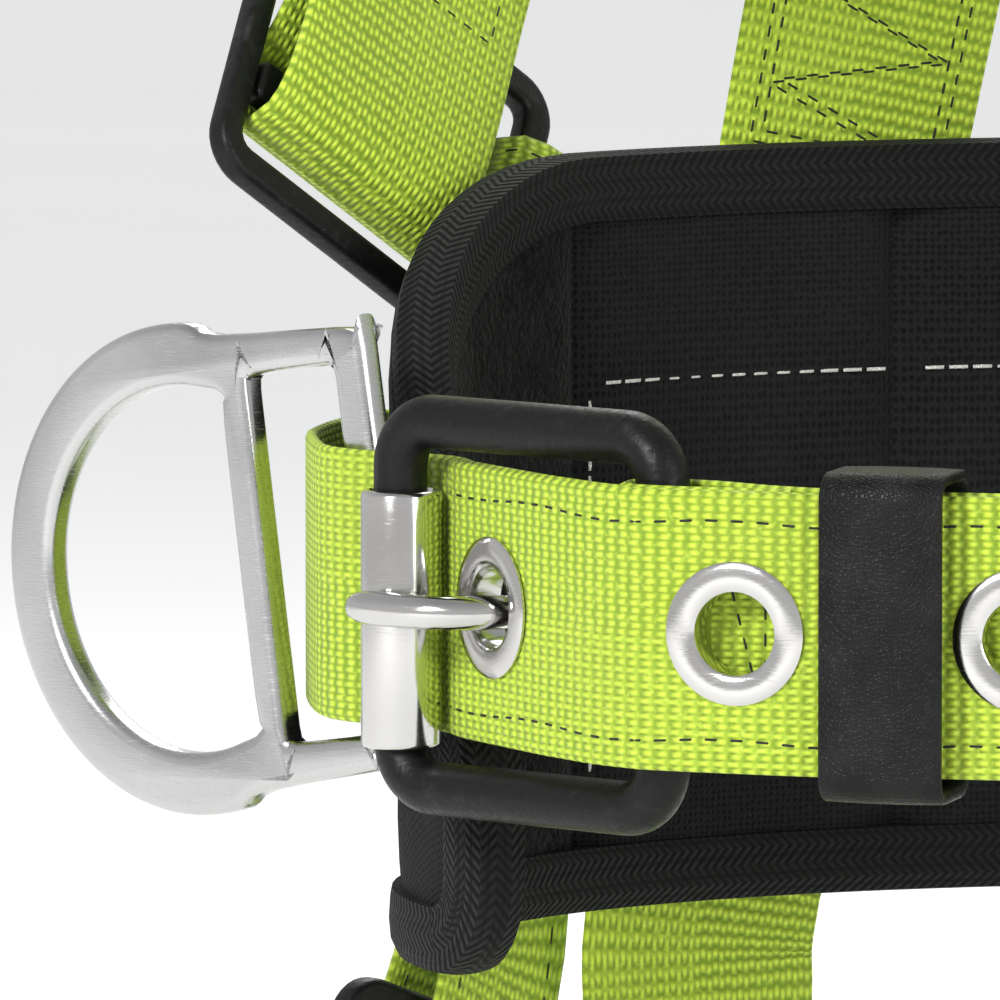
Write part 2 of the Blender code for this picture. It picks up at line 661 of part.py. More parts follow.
def shoulder_strap(lift):
    """The strap over the right shoulder; it starts beside the left leg."""
    knots = [(mirror(Vector(p)), mirror(Vector(n))) for p, n in shoulder_knots(lift)]
    knots += grip_knots(LINK_PLACE, LINK_WRAP, LINK_GRIP)
    return swept(smooth_path(knots, 12.0), strap_section())


def build_shoulder_straps():
    add_body("shoulder_strap_right", *shoulder_strap(STRAP_LIFT), "webbing")
    points, faces = shoulder_strap(0.0)
    add_body("shoulder_strap_left", [mirror(p) for p in points], faces, "webbing")


def build_side_straps():
    """From the torso link down behind the pad to the leg buckle."""
    knots = loop_knots(LINK_PLACE, Vector((LINK_END_BAR, 0, 0)), Vector((-1, 0, 0)))
    for x, z, lift in SIDE_ROUTE:
        point, normal = back_point(x, z, lift)
        knots.append((point, -normal))
    knots += loop_knots(LEG_BUCKLE_PLACE, Vector((0, -END_BAR, 0)), Vector((0, -1, 0)))[::-1]
    add_pair("side_strap", *swept(smooth_path(knots, 11.0), strap_section(SIDE_WIDTH)), "webbing")


# ---------------------------------------------------------------- leg loops

def leg_knots():
    """From the back of the pad round the thigh and up to the leg buckle."""
    route = [(-89.5, 88.0, -130.0), (-80.0, 87.0, -156.0), (-56.0, 77.0, -187.0),
             (-28.0, 50.0, -210.0), (-11.0, 5.0, -224.0), (-20.0, -45.0, -224.0),
             (-55.0, -80.0, -218.0), (-100.0, -92.0, -212.0), (-143.0, -73.0, -208.0),
             (-167.0, -30.0, -203.0), (-171.0, 8.0, -195.0), (-164.0, 34.0, -182.0)]
    knots = [back_point(*place, LAYER + GAP) for place in reversed(LAP)]
    knots.append(back_point(-91.5, -119.0, LAYER + GAP))
    for point in route:
        out = Vector(point) - THIGH
        knots.append((Vector(point), Vector((out.x, out.y, 0.0))))
    return knots + grip_knots(LEG_BUCKLE_PLACE, GRIP_WRAP)


def build_leg_straps():
    add_pair("leg_strap", *swept(smooth_path(leg_knots(), 18.0), strap_section()), "webbing")


# ---------------------------------------------------------------- dorsal plate and chest strap

def build_dorsal():
    place = frame_at((0.0, PLATE_Y, PLATE_Z), (-1, 0, 0), (0, 0, 1))
    outline = [(-40, 56), (-48, 48), (-48, 18), (-40, 0), (-48, -18), (-48, -48), (-40, -56),
               (40, -56), (48, -48), (48, -18), (40, 0), (48, 18), (48, 48), (40, 56)]
    slots = [rounded_rectangle(84.0, 28.4, 3.0, (0.0, y), 2) for y in (-34.0, 34.0)]
    add_body("dorsal_plate", *plate(outline, slots, PLATE_T, place), "black_plastic")

    # Dorsal D-ring: its base bar lies level between the plate and the straps
    outer, holes = dring_outline()
    hang = math.radians(DORSAL_HANG)
    axis = (0.0, PLATE_Y + PLATE_T / 2 + 6.0, PLATE_Z)
    place = frame_at(axis, (0, math.sin(hang), -math.cos(hang)), (1, 0, 0))
    add_body("dorsal_dring", *plate(outer, holes, DRING_THICK, place), "satin_alloy", origin=axis)



def build_chest_straps():
    """From a loop on each shoulder strap to the middle."""
    rows = [((-116.0, CHEST_Y + 7.0, CHEST_Z), (-0.2, -1, 0)),
            ((-93.0, CHEST_Y + 2.5, CHEST_Z), (-0.1, -1, 0)),
            ((-60.0, CHEST_Y, CHEST_Z), (0, -1, 0)), ((-38.0, CHEST_Y, CHEST_Z), (0, -1, 0))]
    add_pair("chest_strap", *swept(smooth_path(rows, 14.0), strap_section()), "webbing")


def build_chest_buckle():
    """A pass-through pair: a wide frame on the left strap and a plate through it on the right."""
    place = frame_at((-13.0, CHEST_Y, CHEST_Z), (1, 0, 0), (0, 0, 1))
    windows = [rounded_rectangle(7.0, 47.0, 1.5, (x, 0.0), 2) for x in (-14.0, 1.0)]
    add_body("chest_buckle_plate", *plate(rounded_rectangle(44.0, 58.0, 5.0, steps=3), windows, 3.2,
                                          place), "satin_alloy")
    place = frame_at((20.0, CHEST_Y - 5.2, CHEST_Z), (1, 0, 0), (0, 0, 1))
    window = rounded_rectangle(30.0, 62.0, 3.0, (-6.0, 0.0), 3)
    slot = rounded_rectangle(6.0, 47.0, 1.5, (18.5, 0.0), 2)
    add_body("chest_buckle_frame", *plate(rounded_rectangle(56.0, 74.0, 7.0, steps=3), [window, slot],
                                          3.2, place), "satin_alloy")


def main():
    clear_scene()
    build_belt()
    build_buckle()
    build_keeper()
    build_pad()
    build_hip_drings()
    build_elastic_bands()
    build_shoulder_straps()
    build_side_straps()
    build_leg_straps()
    build_torso_links()
    build_leg_buckles()
    build_dorsal()
    build_chest_straps()
    build_chest_buckle()


main()
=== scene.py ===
"""Looks of the tree climbing harness: webbing, stitching, padding, hardware, light and camera.

Lengths are millimetres unless a name says otherwise; MM turns them into the frame's metres.
The strap routes, the pad's outline and the plates' outlines repeat the CAD model's own.
"""

import math

import bmesh
import bpy
from mathutils import Matrix, Vector
from mathutils.geometry import tessellate_polygon


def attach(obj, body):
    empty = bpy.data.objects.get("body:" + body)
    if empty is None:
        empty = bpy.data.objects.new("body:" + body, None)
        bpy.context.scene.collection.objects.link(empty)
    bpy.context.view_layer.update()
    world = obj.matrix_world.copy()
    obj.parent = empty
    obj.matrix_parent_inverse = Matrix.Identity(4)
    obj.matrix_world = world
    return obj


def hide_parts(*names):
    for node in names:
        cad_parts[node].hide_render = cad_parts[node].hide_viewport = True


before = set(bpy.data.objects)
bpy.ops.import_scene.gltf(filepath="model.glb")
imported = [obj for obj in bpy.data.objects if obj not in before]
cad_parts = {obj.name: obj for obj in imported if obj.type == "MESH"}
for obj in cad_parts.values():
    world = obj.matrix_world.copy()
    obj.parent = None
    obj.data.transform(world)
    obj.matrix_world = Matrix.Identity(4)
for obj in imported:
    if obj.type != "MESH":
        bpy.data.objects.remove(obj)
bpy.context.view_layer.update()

MM = 0.001
ROOT = "harness"

GAP = 0.3                      # clearance between pieces that touch

# Webbing
WEB_WIDTH = 45.0
WEB_THICK = 2.0
LAYER = WEB_THICK + GAP        # spacing of two webbing layers

# Waist belt: an oval in plan, measured to the middle of the webbing
BELT_A, BELT_B = 157.3, 108.8
BUCKLE_X = -123.0              # the buckle sits in front of the right hip
GROMMET_AT = (-6.0, 46.0, 90.5, 134.5, 178.5)     # along the belt from the buckle
BELT_TIP_AT = 216.0
GROMMET_HOLE_R, GROMMET_R = 6.5, 11.5
GROMMET_BARREL_R = 7.4
STRAP_HOLE_R = 7.75
FLAT_HALF = 12.0               # the strap lies flat this far each side of a grommet

# Roller buckle
BAR_R = 4.4
BUCKLE_HALF_SPAN = 28.2       # middle of the buckle to each upright bar
BUCKLE_HALF_HEIGHT = 29.9
BUCKLE_CORNER = 7.6
BUCKLE_DROP = 0.8              # the buckle hangs this far below the belt's middle
ROLLER_R, ROLLER_BORE_R, ROLLER_LENGTH = 6.7, 5.0, 42.0
ROLLER_DROP = 2.6              # the roller rests on the lower bend of its bar
TONGUE_R = 2.8

# Waist pad: three layers and an edge binding, inside the belt
PAD_A, PAD_B = 142.6, 98.0    # outer face of the pad
PAD_TOP, PAD_BOTTOM = 63.5, -63.0
PAD_END_X = -129.0             # front lower corner of the pad
COVER_T, FOAM_T, LINING_T = 1.2, 4.7, 1.2
BINDING_T, BINDING_LEG = 1.0, 10.0
BINDING_GAP = 0.7
PAD_INSET = 1.0                # the layers stop this far inside the edge tape

# Hip D-ring, measured from the middle of its rear bar along the ring
HIP_HINGE = Vector((-146.0, -24.0, 6.0))
DRING_REACH = 84.0
DRING_THICK = 5.6
DRING_HALF_HEIGHT = 41.0
DRING_SLOT_END = 24.0
DRING_LEAN = 9.0               # degrees that the ring leans outwards in its own plane

# Dorsal plate
PLATE_Z, PLATE_Y, PLATE_T = 345.0, 119.0, 3.4
STRAP_LIFT = 4.6               # how far the right shoulder strap stands off the left one
DORSAL_HANG = 34.0             # degrees that the ring stands out from hanging straight down

CHEST_Z, CHEST_Y = 292.0, -122.0
BAND_WIDTH = 2.6               # elastic bands
SIDE_WIDTH = 30.0              # side straps
THIGH = Vector((-92.0, 0.0, 0.0))    # middle of the right thigh


def travel(points, i, closed):
    """Direction of a path at point i."""
    if closed:
        return (points[(i + 1) % len(points)] - points[i - 1]).normalized()
    return (points[min(i + 1, len(points) - 1)] - points[max(i - 1, 0)]).normalized()


def round_section(radius, sides):
    """A circle as a tube's section."""
    return [(radius * math.cos(2 * math.pi * i / sides), radius * math.sin(2 * math.pi * i / sides))
            for i in range(sides)]


def smooth_path(knots, step):
    """A Catmull-Rom curve through (point, normal) knots, read off about every step millimetres."""
    rows = [(Vector(p), Vector(n).normalized()) for p, n in knots]
    rows = [rows[0]] + rows + [rows[-1]]
    path = []
    for i in range(1, len(rows) - 2):
        pieces = max(1, round((rows[i + 1][0] - rows[i][0]).length / step))
        for j in range(pieces):
            t = j / pieces
            blend = [-0.5 * t + t * t - 0.5 * t ** 3, 1 - 2.5 * t * t + 1.5 * t ** 3,
                     0.5 * t + 2 * t * t - 1.5 * t ** 3, -0.5 * t * t + 0.5 * t ** 3]
            point = sum((rows[i - 1 + k][0] * blend[k] for k in range(4)), Vector())
            path.append((point, rows[i][1].lerp(rows[i + 1][1], t).normalized()))
    path.append(rows[-1])
    return path


def rounded_rectangle(width, height, radius, centre=(0.0, 0.0), steps=4):
    """Corner arcs of a rounded rectangle, counter-clockwise."""
    points = []
    for quarter, (sx, sy) in enumerate(((1, 1), (-1, 1), (-1, -1), (1, -1))):
        for i in range(steps + 1):
            angle = math.radians(90 * quarter + 90 * i / steps)
            points.append((centre[0] + sx * (width / 2 - radius) + radius * math.cos(angle),
                           centre[1] + sy * (height / 2 - radius) + radius * math.sin(angle)))
    return points


def frame_at(centre, x_axis, y_axis):
    """A placing matrix from a centre and two directions; Z completes a right-handed set."""
    x = Vector(x_axis).normalized()
    z = x.cross(Vector(y_axis)).normalized()
    y = z.cross(x)
    matrix = Matrix((x, y, z)).transposed().to_4x4()
    matrix.translation = Vector(centre)
    return matrix


def mirror(point):
    """The same place on the wearer's other side."""
    return Vector((-point[0], point[1], point[2]))


class Oval:
    """An ellipse walked by arc length: 0 at the front, growing towards +X."""

    STEPS = 1440

    def __init__(self, a, b):
        self.a, self.b = a, b
        self.lengths = [0.0]
        for i in range(self.STEPS):
            self.lengths.append(self.lengths[-1] + (self.spot(i + 1) - self.spot(i)).length)
        self.length = self.lengths[-1]

    def spot(self, i):
        angle = 2 * math.pi * i / self.STEPS
        return Vector((self.a * math.sin(angle), -self.b * math.cos(angle), 0.0))

    def at(self, s, out=0.0, z=0.0):
        """Point and outward normal at arc length s, moved outwards by out and up to z."""
        s %= self.length
        low = next(i for i in range(self.STEPS) if self.lengths[i + 1] >= s)
        part = (s - self.lengths[low]) / (self.lengths[low + 1] - self.lengths[low])
        point = self.spot(low).lerp(self.spot(low + 1), part)
        normal = Vector((point.x / self.a ** 2, point.y / self.b ** 2, 0.0)).normalized()
        return point + normal * out + Vector((0, 0, z)), normal

    def where_x(self, x):
        """Arc length, from -length/4 to length/4, of the front point with this x."""
        angle = math.asin(x / self.a)
        s = self.lengths[round(abs(angle) / (2 * math.pi) * self.STEPS)]
        return math.copysign(s, x)


BELT = Oval(BELT_A, BELT_B)
PAD = Oval(PAD_A, PAD_B)
BUCKLE_S = BELT.where_x(BUCKLE_X)


def belt_at(s, out=0.0, z=0.0):
    """A place on the belt, measured from the middle of the buckle."""
    return BELT.at(BUCKLE_S + s, out, z)


ROLLER_AXIS = belt_at(-BUCKLE_HALF_SPAN, 0.0, -BUCKLE_DROP)[0]
ANCHOR_AXIS = belt_at(BUCKLE_HALF_SPAN, 0.0, -BUCKLE_DROP)[0]
BUCKLE_FRAME = frame_at((ROLLER_AXIS + ANCHOR_AXIS) / 2, ANCHOR_AXIS - ROLLER_AXIS, (0, 0, 1))
# BUCKLE_FRAME: x along the belt, y up, z outwards (towards the front)

# Middle of the doubled free end as (along, outwards) from behind the roller to the tip
FREE_END = [(-62, 1.2), (-54, 1.2), (-48, -0.6), (-43, -3.3), (-37, -6.7), (-32, -8.8), (-28.2, -9.3),
            (-22.5, -8.2), (-18, -6.2), (6, 1.6), (13, 4.4), (21, 7.9), (28.2, 9.9), (34, 10.4),
            (58, 8.7), (66, 6.6), (78.5, 5.5), (102.5, 5.5)]
LAYER_FROM = -34.0             # the second layer starts just behind the roller
for grommet_s in GROMMET_AT[3:]:
    FREE_END += [(grommet_s - FLAT_HALF, 5.4), (grommet_s + FLAT_HALF, 5.4)]
FREE_END += [(200.0, 5.4), (BELT_TIP_AT, 5.4)]


def belt_path():
    """The belt webbing: from its sewn tail, round the anchor bar, round the waist, to the tip."""
    tail = [(52, 2.8), (44, 3.6), (37, 5.2)]
    path = [belt_at(s, out) for s, out in tail]
    radius = BAR_R + 2 * GAP + WEB_THICK / 2
    for degrees in range(75, 286, 30):
        angle = math.radians(degrees)
        out = Vector((math.cos(angle), 0.0, math.sin(angle)))
        rotated = BUCKLE_FRAME.to_3x3() @ out
        spot = ANCHOR_AXIS + rotated * radius
        path.append((Vector((spot.x, spot.y, 0.0)), rotated))
    path += [(p, -n) for p, n in (belt_at(37, -5.0), belt_at(46, -2.2), belt_at(56, -0.4))]
    s = 66.0
    while s < BELT.length - 75.0:
        p, n = belt_at(s)
        path.append((p, -n))
        s += 12.0
    for s, out in [(s, out - LAYER / 2) for s, out in FREE_END]:
        p, n = belt_at(s, out)
        path.append((p, -n))
    return path


def grommet_place(s):
    """Frame of a grommet: z along its hole, outwards."""
    low, _ = free_end_at(s - FLAT_HALF)
    high, _ = free_end_at(s + FLAT_HALF)
    return frame_at((low + high) / 2, high - low, (0, 0, 1))


def free_end_at(s):
    """A place on the free end, midway between its two layers."""
    for (s0, o0), (s1, o1) in zip(FREE_END, FREE_END[1:]):
        if s0 <= s <= s1:
            return belt_at(s, o0 + (o1 - o0) * (s - s0) / (s1 - s0))
    return belt_at(s, FREE_END[-1][1])


PAD_HALF = PAD.length / 2 + PAD.where_x(PAD_END_X)     # back centre to the front lower corner
END_SWEEP, END_POWER = 108.0, 1.7      # length and fullness of the top edge's curve at each end
LOWER_CORNER = 15.0                    # radius of the lower corners
END_LOW, END_HIGH = PAD_BOTTOM + LOWER_CORNER, -38.0


def pad_top(d):
    """Top edge of the pad at distance d from its end."""
    if d >= END_SWEEP:
        return PAD_TOP
    rise = (1 - (1 - d / END_SWEEP) ** END_POWER) ** (1 / END_POWER)
    return END_HIGH + (PAD_TOP - END_HIGH) * rise


def pad_bottom(d):
    """Bottom edge of the pad at distance d from its end."""
    if d >= LOWER_CORNER:
        return PAD_BOTTOM
    return END_LOW - math.sqrt(LOWER_CORNER ** 2 - (LOWER_CORNER - d) ** 2)


def dring_outline():
    """Outline and holes of a D-ring: x from the rear bar to the eye, y up."""
    eye = (DRING_REACH - DRING_HALF_HEIGHT, 0.0)
    outer = []
    for degrees in range(-100, 101, 10):
        angle = math.radians(degrees)
        outer.append((eye[0] + DRING_HALF_HEIGHT * math.cos(angle), DRING_HALF_HEIGHT * math.sin(angle)))
    outer += [(DRING_SLOT_END + 6, 38.0), (4.0, 36.6), (-1.5, 35.4), (-3.6, 32.5)]
    outer += [(x, -y) for x, y in reversed(outer[-4:])]
    hole = []
    for degrees in range(-115, 116, 10):
        angle = math.radians(degrees)
        hole.append((eye[0] + 31.0 * math.cos(angle), 30.5 * math.sin(angle)))
    hole += [(DRING_SLOT_END + 6.4, 22.0), (DRING_SLOT_END + 6.4, -22.0)]
    slot = rounded_rectangle(DRING_SLOT_END - 3.6, 61.0, 2.5, ((DRING_SLOT_END + 3.6) / 2, 0.0), 2)
    return outer, [hole, slot]


BACK_OVAL = Oval((BELT_A + PAD_A) / 2, (BELT_B + PAD_B) / 2 + 0.2)


def back_point(x, z, lift=0.0):
    """A place behind the pad, between it and the belt."""
    y = BACK_OVAL.b * math.sqrt(1 - (x / BACK_OVAL.a) ** 2)
    normal = Vector((x / BACK_OVAL.a ** 2, y / BACK_OVAL.b ** 2, 0.0)).normalized()
    return Vector((x, y, z)) + normal * lift, normal


# Where the leg strap is lapped over the shoulder strap's lower end: (x, z), bottom first
LAP = ((-92.5, -108.0), (-92.0, -84.0))


def shoulder_knots(lift):
    """Right leg side of the back, up through the dorsal plate, over the left shoulder."""
    rows = [back_point(*place) for place in LAP]
    rows += [back_point(-90.5, -63.0), back_point(-76.0, 0.0), back_point(-67.0, 63.0)]
    rows += [((-46, 108 + lift * 0.5, 160), (-0.1, 1, 0)), ((-22, 107.5 + lift, 250), (0, 1, 0)),
             ((-11, 108.5 + lift, 293), (0, 1, -0.4)), ((-5, 124 + lift, 321), (0, 1, -0.56)),
             ((0, 135.0 + lift, 345), (0, 1, 0)), ((5, 124 + lift, 369), (0, 1, 0.56)),
             ((11, 108.5 + lift, 397), (0, 1, 0.5)), ((30, 93 + lift, 430 + lift * 0.6), (0, 0.78, 0.62)),
             ((64, 56, 462), (0.1, 0.45, 0.9)), ((80, 5, 468), (0, 0, 1)),
             ((88, -50, 442), (0, -0.6, 0.8)), ((90, -94, 380), (0, -0.95, 0.3)),
             ((93, -110, 300), (0.1, -1, 0)), ((112, -92, 230), (0.5, -0.85, 0)),
             ((140, -45, 178), (0.85, -0.5, 0.2))]
    return rows


# Slides are placed by a frame: x across the webbing, y along it, z away from the wearer.
# Torso link: the shoulder webbing grips in its wide window, the side strap is sewn to its end bar
LINK_PLACE = frame_at((-146.0, 55.0, 69.0), (-0.68, -0.45, 0.57), (0.19, 0.64, 0.74))
LINK_WIDTH, LINK_HEIGHT = 68.0, 58.0
WINDOW = 46.6                  # clear length of a bar that carries webbing
LINK_GRIP = Vector((5.9, -9.0, 0.0))
LINK_END_BAR = -31.2
# Leg buckle: just below the pad behind each hip, its y axis down the leg strap
LEG_BUCKLE_PLACE = frame_at((-138.5, 63.5, -111.0), (0.649, 0.677, -0.339), (-0.235, -0.245, -0.94))
SLIDE_LENGTH, SLIDE_WIDTH, SLIDE_THICK = 58.0, 62.0, 4.6
SLIDE_RAIL, SLIDE_END_BAR = 5.0, 7.0
END_BAR = SLIDE_LENGTH / 2 - SLIDE_END_BAR / 2

# Webbing round a grip bar, as (along, outwards) from the bar: in behind the far bar, out through
# the first gap, over the grip bar, back through the second gap and out behind as a tail
GRIP_WRAP = [(48, -5.6), (38, -5.2), (27, -5.0), (17, -3.6), (12, 0.5), (8, 4.6), (0, 5.8), (-8, 4.6),
             (-12, 0.0), (-9, -5.2), (0, -8.4), (14, -9.6), (28, -9.4), (44, -9.0)]
LINK_WRAP = [(62, -5.4), (50, -4.8), (38, -4.8), (28, -4.6), (18, -3.2), (9, 0.4), (4.5, 4.6), (0, 5.8),
             (-5, 4.6), (-9, 0.0), (-7, -5.4), (0, -8.6), (16, -9.6), (36, -9.4), (52, -9.8)]


# The side strap behind the pad, as (x, z, lift)
SIDE_ROUTE = ((-113.5, 20.0, 1.4), (-117.0, 0.0, 0.7), (-121.0, -20.0, 0.3), (-124.5, -40.0, 0.3))


def grip_knots(place, wrap, centre=Vector((0, 0, 0))):
    """Knots of the webbing round a grip bar, with normals square to its run."""
    turn = place.to_3x3()
    rows = [centre + Vector((0, along, out)) for along, out in wrap]
    knots = []
    for i, row in enumerate(rows):
        run = (rows[min(i + 1, len(rows) - 1)] - rows[max(i - 1, 0)]).normalized()
        knots.append((place @ row, turn @ Vector((0, run.z, -run.y))))
    return knots


def loop_knots(place, bar, away):
    """Half a turn of sewn webbing round a bar at place's point bar, leaving towards away."""
    radius = SLIDE_END_BAR / 2 + WEB_THICK / 2 + 1.7
    turn = place.to_3x3()
    up = Vector((0, 0, 1))
    knots = [(place @ (bar + away * 22.0 + up * 4.2), turn @ up)]
    for degrees in (90, 45, 0, -45, -90):
        angle = math.radians(degrees)
        out = -away * math.cos(angle) + up * math.sin(angle)
        knots.append((place @ (bar + out * radius), turn @ out))
    knots.append((place @ (bar + away * 20.0 - up * 4.0), turn @ -up))
    return knots


def leg_knots():
    """From the back of the pad round the thigh and up to the leg buckle."""
    route = [(-89.5, 88.0, -130.0), (-80.0, 87.0, -156.0), (-56.0, 77.0, -187.0),
             (-28.0, 50.0, -210.0), (-11.0, 5.0, -224.0), (-20.0, -45.0, -224.0),
             (-55.0, -80.0, -218.0), (-100.0, -92.0, -212.0), (-143.0, -73.0, -208.0),
             (-167.0, -30.0, -203.0), (-171.0, 8.0, -195.0), (-164.0, 34.0, -182.0)]
    knots = [back_point(*place, LAYER + GAP) for place in reversed(LAP)]
    knots.append(back_point(-91.5, -119.0, LAYER + GAP))
    for point in route:
        out = Vector(point) - THIGH
        knots.append((Vector(point), Vector((out.x, out.y, 0.0))))
    return knots + grip_knots(LEG_BUCKLE_PLACE, GRIP_WRAP)


# ---------------------------------------------------------------- node materials

class Nodes:
    """A node material in the making, with short calls for the usual nodes."""

    def __init__(self, name, roughness, metallic=0.0, specular=0.5):
        self.material = bpy.data.materials.new(name)
        self.material.use_nodes = True
        self.tree = self.material.node_tree
        self.shader = self.tree.nodes["Principled BSDF"]
        self.shader.inputs["Roughness"].default_value = roughness
        self.shader.inputs["Metallic"].default_value = metallic
        self.shader.inputs["Specular IOR Level"].default_value = specular

    def new(self, kind, **settings):
        node = self.tree.nodes.new("ShaderNode" + kind)
        for key, value in settings.items():
            setattr(node, key, value)
        return node

    def put(self, value, socket):
        if isinstance(value, bpy.types.NodeSocket):
            self.tree.links.new(value, socket)
        else:
            socket.default_value = value

    def math(self, operation, a, b=0.0):
        node = self.new("Math", operation=operation)
        self.put(a, node.inputs[0])
        self.put(b, node.inputs[1])
        return node.outputs[0]

    def times(self, a, b):
        return self.math("MULTIPLY", a, b)

    def plus(self, a, b):
        return self.math("ADD", a, b)

    def wave(self, value, pitch, phase=0.0):
        """A sine from 0 to 1 of value, one wave per pitch metres."""
        swing = self.math("SINE", self.plus(self.times(value, 2 * math.pi / pitch), phase))
        return self.plus(self.times(swing, 0.5), 0.5)

    def cloth_places(self):
        """Metres along and metres across the piece."""
        split = self.new("SeparateXYZ")
        self.tree.links.new(self.new("UVMap").outputs[0], split.inputs[0])
        return split.outputs[0], split.outputs[1]

    def object_places(self):
        """Metres in the piece's own space."""
        return self.new("TexCoord").outputs["Object"]

    def noise(self, scale, detail=3.0, places=None):
        """Cloudy noise over the given places, or over the piece's own space."""
        node = self.new("TexNoise")
        node.inputs["Scale"].default_value = scale
        node.inputs["Detail"].default_value = detail
        self.tree.links.new(self.object_places() if places is None else places, node.inputs["Vector"])
        return node.outputs["Fac"]

    def mix(self, amount, low, high):
        """A colour between low and high."""
        node = self.new("Mix", data_type="RGBA")
        self.put(amount, node.inputs["Factor"])
        for colour, socket in ((low, node.inputs[6]), (high, node.inputs[7])):
            self.put(colour if isinstance(colour, bpy.types.NodeSocket) else (*colour, 1.0), socket)
        return node.outputs[2]

    def remap(self, value, low, high, new_low=0.0, new_high=1.0):
        """Value stretched from low..high to new_low..new_high and held there."""
        node = self.new("MapRange")
        self.put(value, node.inputs[0])
        for index, number in enumerate((low, high, new_low, new_high), 1):
            node.inputs[index].default_value = number
        return node.outputs[0]

    def colour(self, value):
        self.put(value, self.shader.inputs["Base Color"])

    def rough(self, value):
        self.put(value, self.shader.inputs["Roughness"])

    def bump(self, height, depth, strength=1.0):
        """Surface relief of a height from 0 to 1, depth metres deep."""
        node = self.new("Bump")
        node.inputs["Distance"].default_value = depth
        node.inputs["Strength"].default_value = strength
        self.put(height, node.inputs["Height"])
        self.tree.links.new(node.outputs[0], self.shader.inputs["Normal"])


def weave(nodes, rib_pitch, column_pitch, step=0.5):
    """Ribs across the strap, every other column of yarn a step out of line, and the columns themselves."""
    along, across = nodes.cloth_places()
    wobble = nodes.times(nodes.noise(220.0, 2.0), rib_pitch * 0.35)
    along = nodes.plus(along, wobble)
    column = nodes.math("FLOOR", nodes.math("DIVIDE", across, column_pitch))
    shift = nodes.times(nodes.math("MODULO", column, 2.0), rib_pitch * step)
    rib = nodes.wave(nodes.plus(along, shift), rib_pitch)
    yarn = nodes.wave(across, column_pitch, -math.pi / 2)
    return rib, yarn


def webbing_material():
    """Lime polyester webbing: ribs and yarns in relief with painted shade in their hollows, a little soil
    and a little fuzz.
    """
    nodes = Nodes("lime_webbing", 0.62)
    rib, yarn = weave(nodes, 0.0025, 0.0012, 0.22)
    along, _ = nodes.cloth_places()
    cord = nodes.wave(along, 0.0025)
    height = nodes.times(nodes.math("POWER", rib, 0.8), nodes.math("POWER", yarn, 0.5))
    height = nodes.plus(nodes.times(height, 0.7), nodes.times(cord, 0.3))
    soil = nodes.remap(nodes.noise(28.0, 5.0), 0.42, 0.72)
    fine = nodes.noise(900.0, 2.0)
    # Painted shade and highlight: the weave's hollows darker and its raised ribs lighter, following the
    # relief height
    base = nodes.mix(nodes.remap(height, 0.05, 0.75), (0.19, 0.31, 0.01), (0.60, 0.79, 0.05))
    base = nodes.mix(nodes.times(soil, 0.22), base, (0.36, 0.44, 0.05))
    base = nodes.mix(nodes.remap(fine, 0.55, 0.75, 0.0, 0.35), base, (0.80, 0.97, 0.12))
    nodes.colour(base)
    nodes.rough(nodes.remap(height, 0.0, 1.0, 0.8, 0.5))
    nodes.shader.inputs["Sheen Weight"].default_value = 0.08
    nodes.bump(height, 0.0007, 0.9)
    return nodes.material


def black_weave_material(name, rib=0.0016, column=0.0009, tone=0.006):
    """Plain black weave, ribbed, with lint; the hollows between the ribs are painted darker as shade."""
    nodes = Nodes(name, 0.85, specular=0.2)
    rib, yarn = weave(nodes, rib, column)
    height = nodes.times(rib, nodes.math("POWER", yarn, 0.6))
    lint = nodes.remap(nodes.noise(60.0, 6.0), 0.45, 0.75)
    # Painted shade: darker in the weave's hollows, lighter on its ribs, following the relief height
    base = nodes.mix(height, (tone * 0.3, tone * 0.3, tone * 0.32), (tone * 1.6, tone * 1.6, tone * 1.7))
    base = nodes.mix(nodes.times(lint, 0.3), base, (tone * 2.2, tone * 2.2, tone * 2.1))
    nodes.colour(base)
    nodes.shader.inputs["Sheen Weight"].default_value = 0.02
    nodes.shader.inputs["Sheen Roughness"].default_value = 0.5
    nodes.bump(height, 0.0005, 0.9)
    return nodes.material


def herringbone_material():
    """Folded tape whose twill turns back at each stripe, with painted shade in the twill's grooves."""
    nodes = Nodes("black_herringbone_tape", 0.8, specular=0.2)
    along, across = nodes.cloth_places()
    stripe = 0.0030
    place = nodes.math("PINGPONG", across, stripe)
    slant = nodes.plus(along, place)
    twill = nodes.wave(slant, 0.0019)
    spine = nodes.math("PINGPONG", nodes.plus(across, stripe / 2), stripe / 2)
    height = nodes.times(twill, nodes.remap(spine, 0.0, 0.0006, 0.35, 1.0))
    # Painted shade: the twill's grooves darker and its raised lines lighter, following the relief height
    nodes.colour(nodes.mix(height, (0.001, 0.001, 0.0013), (0.012, 0.012, 0.0128)))
    nodes.shader.inputs["Sheen Weight"].default_value = 0.03
    nodes.bump(height, 0.0006, 1.0)
    return nodes.material


def air_mesh_material():
    """Spacer mesh: a knitted net of small round openings, painted darker inside them as shade."""
    nodes = Nodes("black_air_mesh", 0.85, specular=0.15)
    cells = nodes.new("TexVoronoi", feature="F1")
    cells.inputs["Scale"].default_value = 820.0
    cells.inputs["Randomness"].default_value = 0.25
    nodes.tree.links.new(nodes.new("UVMap").outputs[0], cells.inputs["Vector"])
    net = nodes.remap(cells.outputs["Distance"], 0.18, 0.42)
    dust = nodes.remap(nodes.noise(45.0, 5.0), 0.4, 0.75)
    # Painted shade: the openings near black, the knitted net lighter, following the same mask as the relief
    base = nodes.mix(net, (0.001, 0.001, 0.0014), (0.0075, 0.0076, 0.0085))
    nodes.colour(nodes.mix(nodes.times(dust, 0.18), base, (0.02, 0.02, 0.021)))
    nodes.shader.inputs["Sheen Weight"].default_value = 0.03
    nodes.bump(net, 0.0004, 0.8)
    return nodes.material


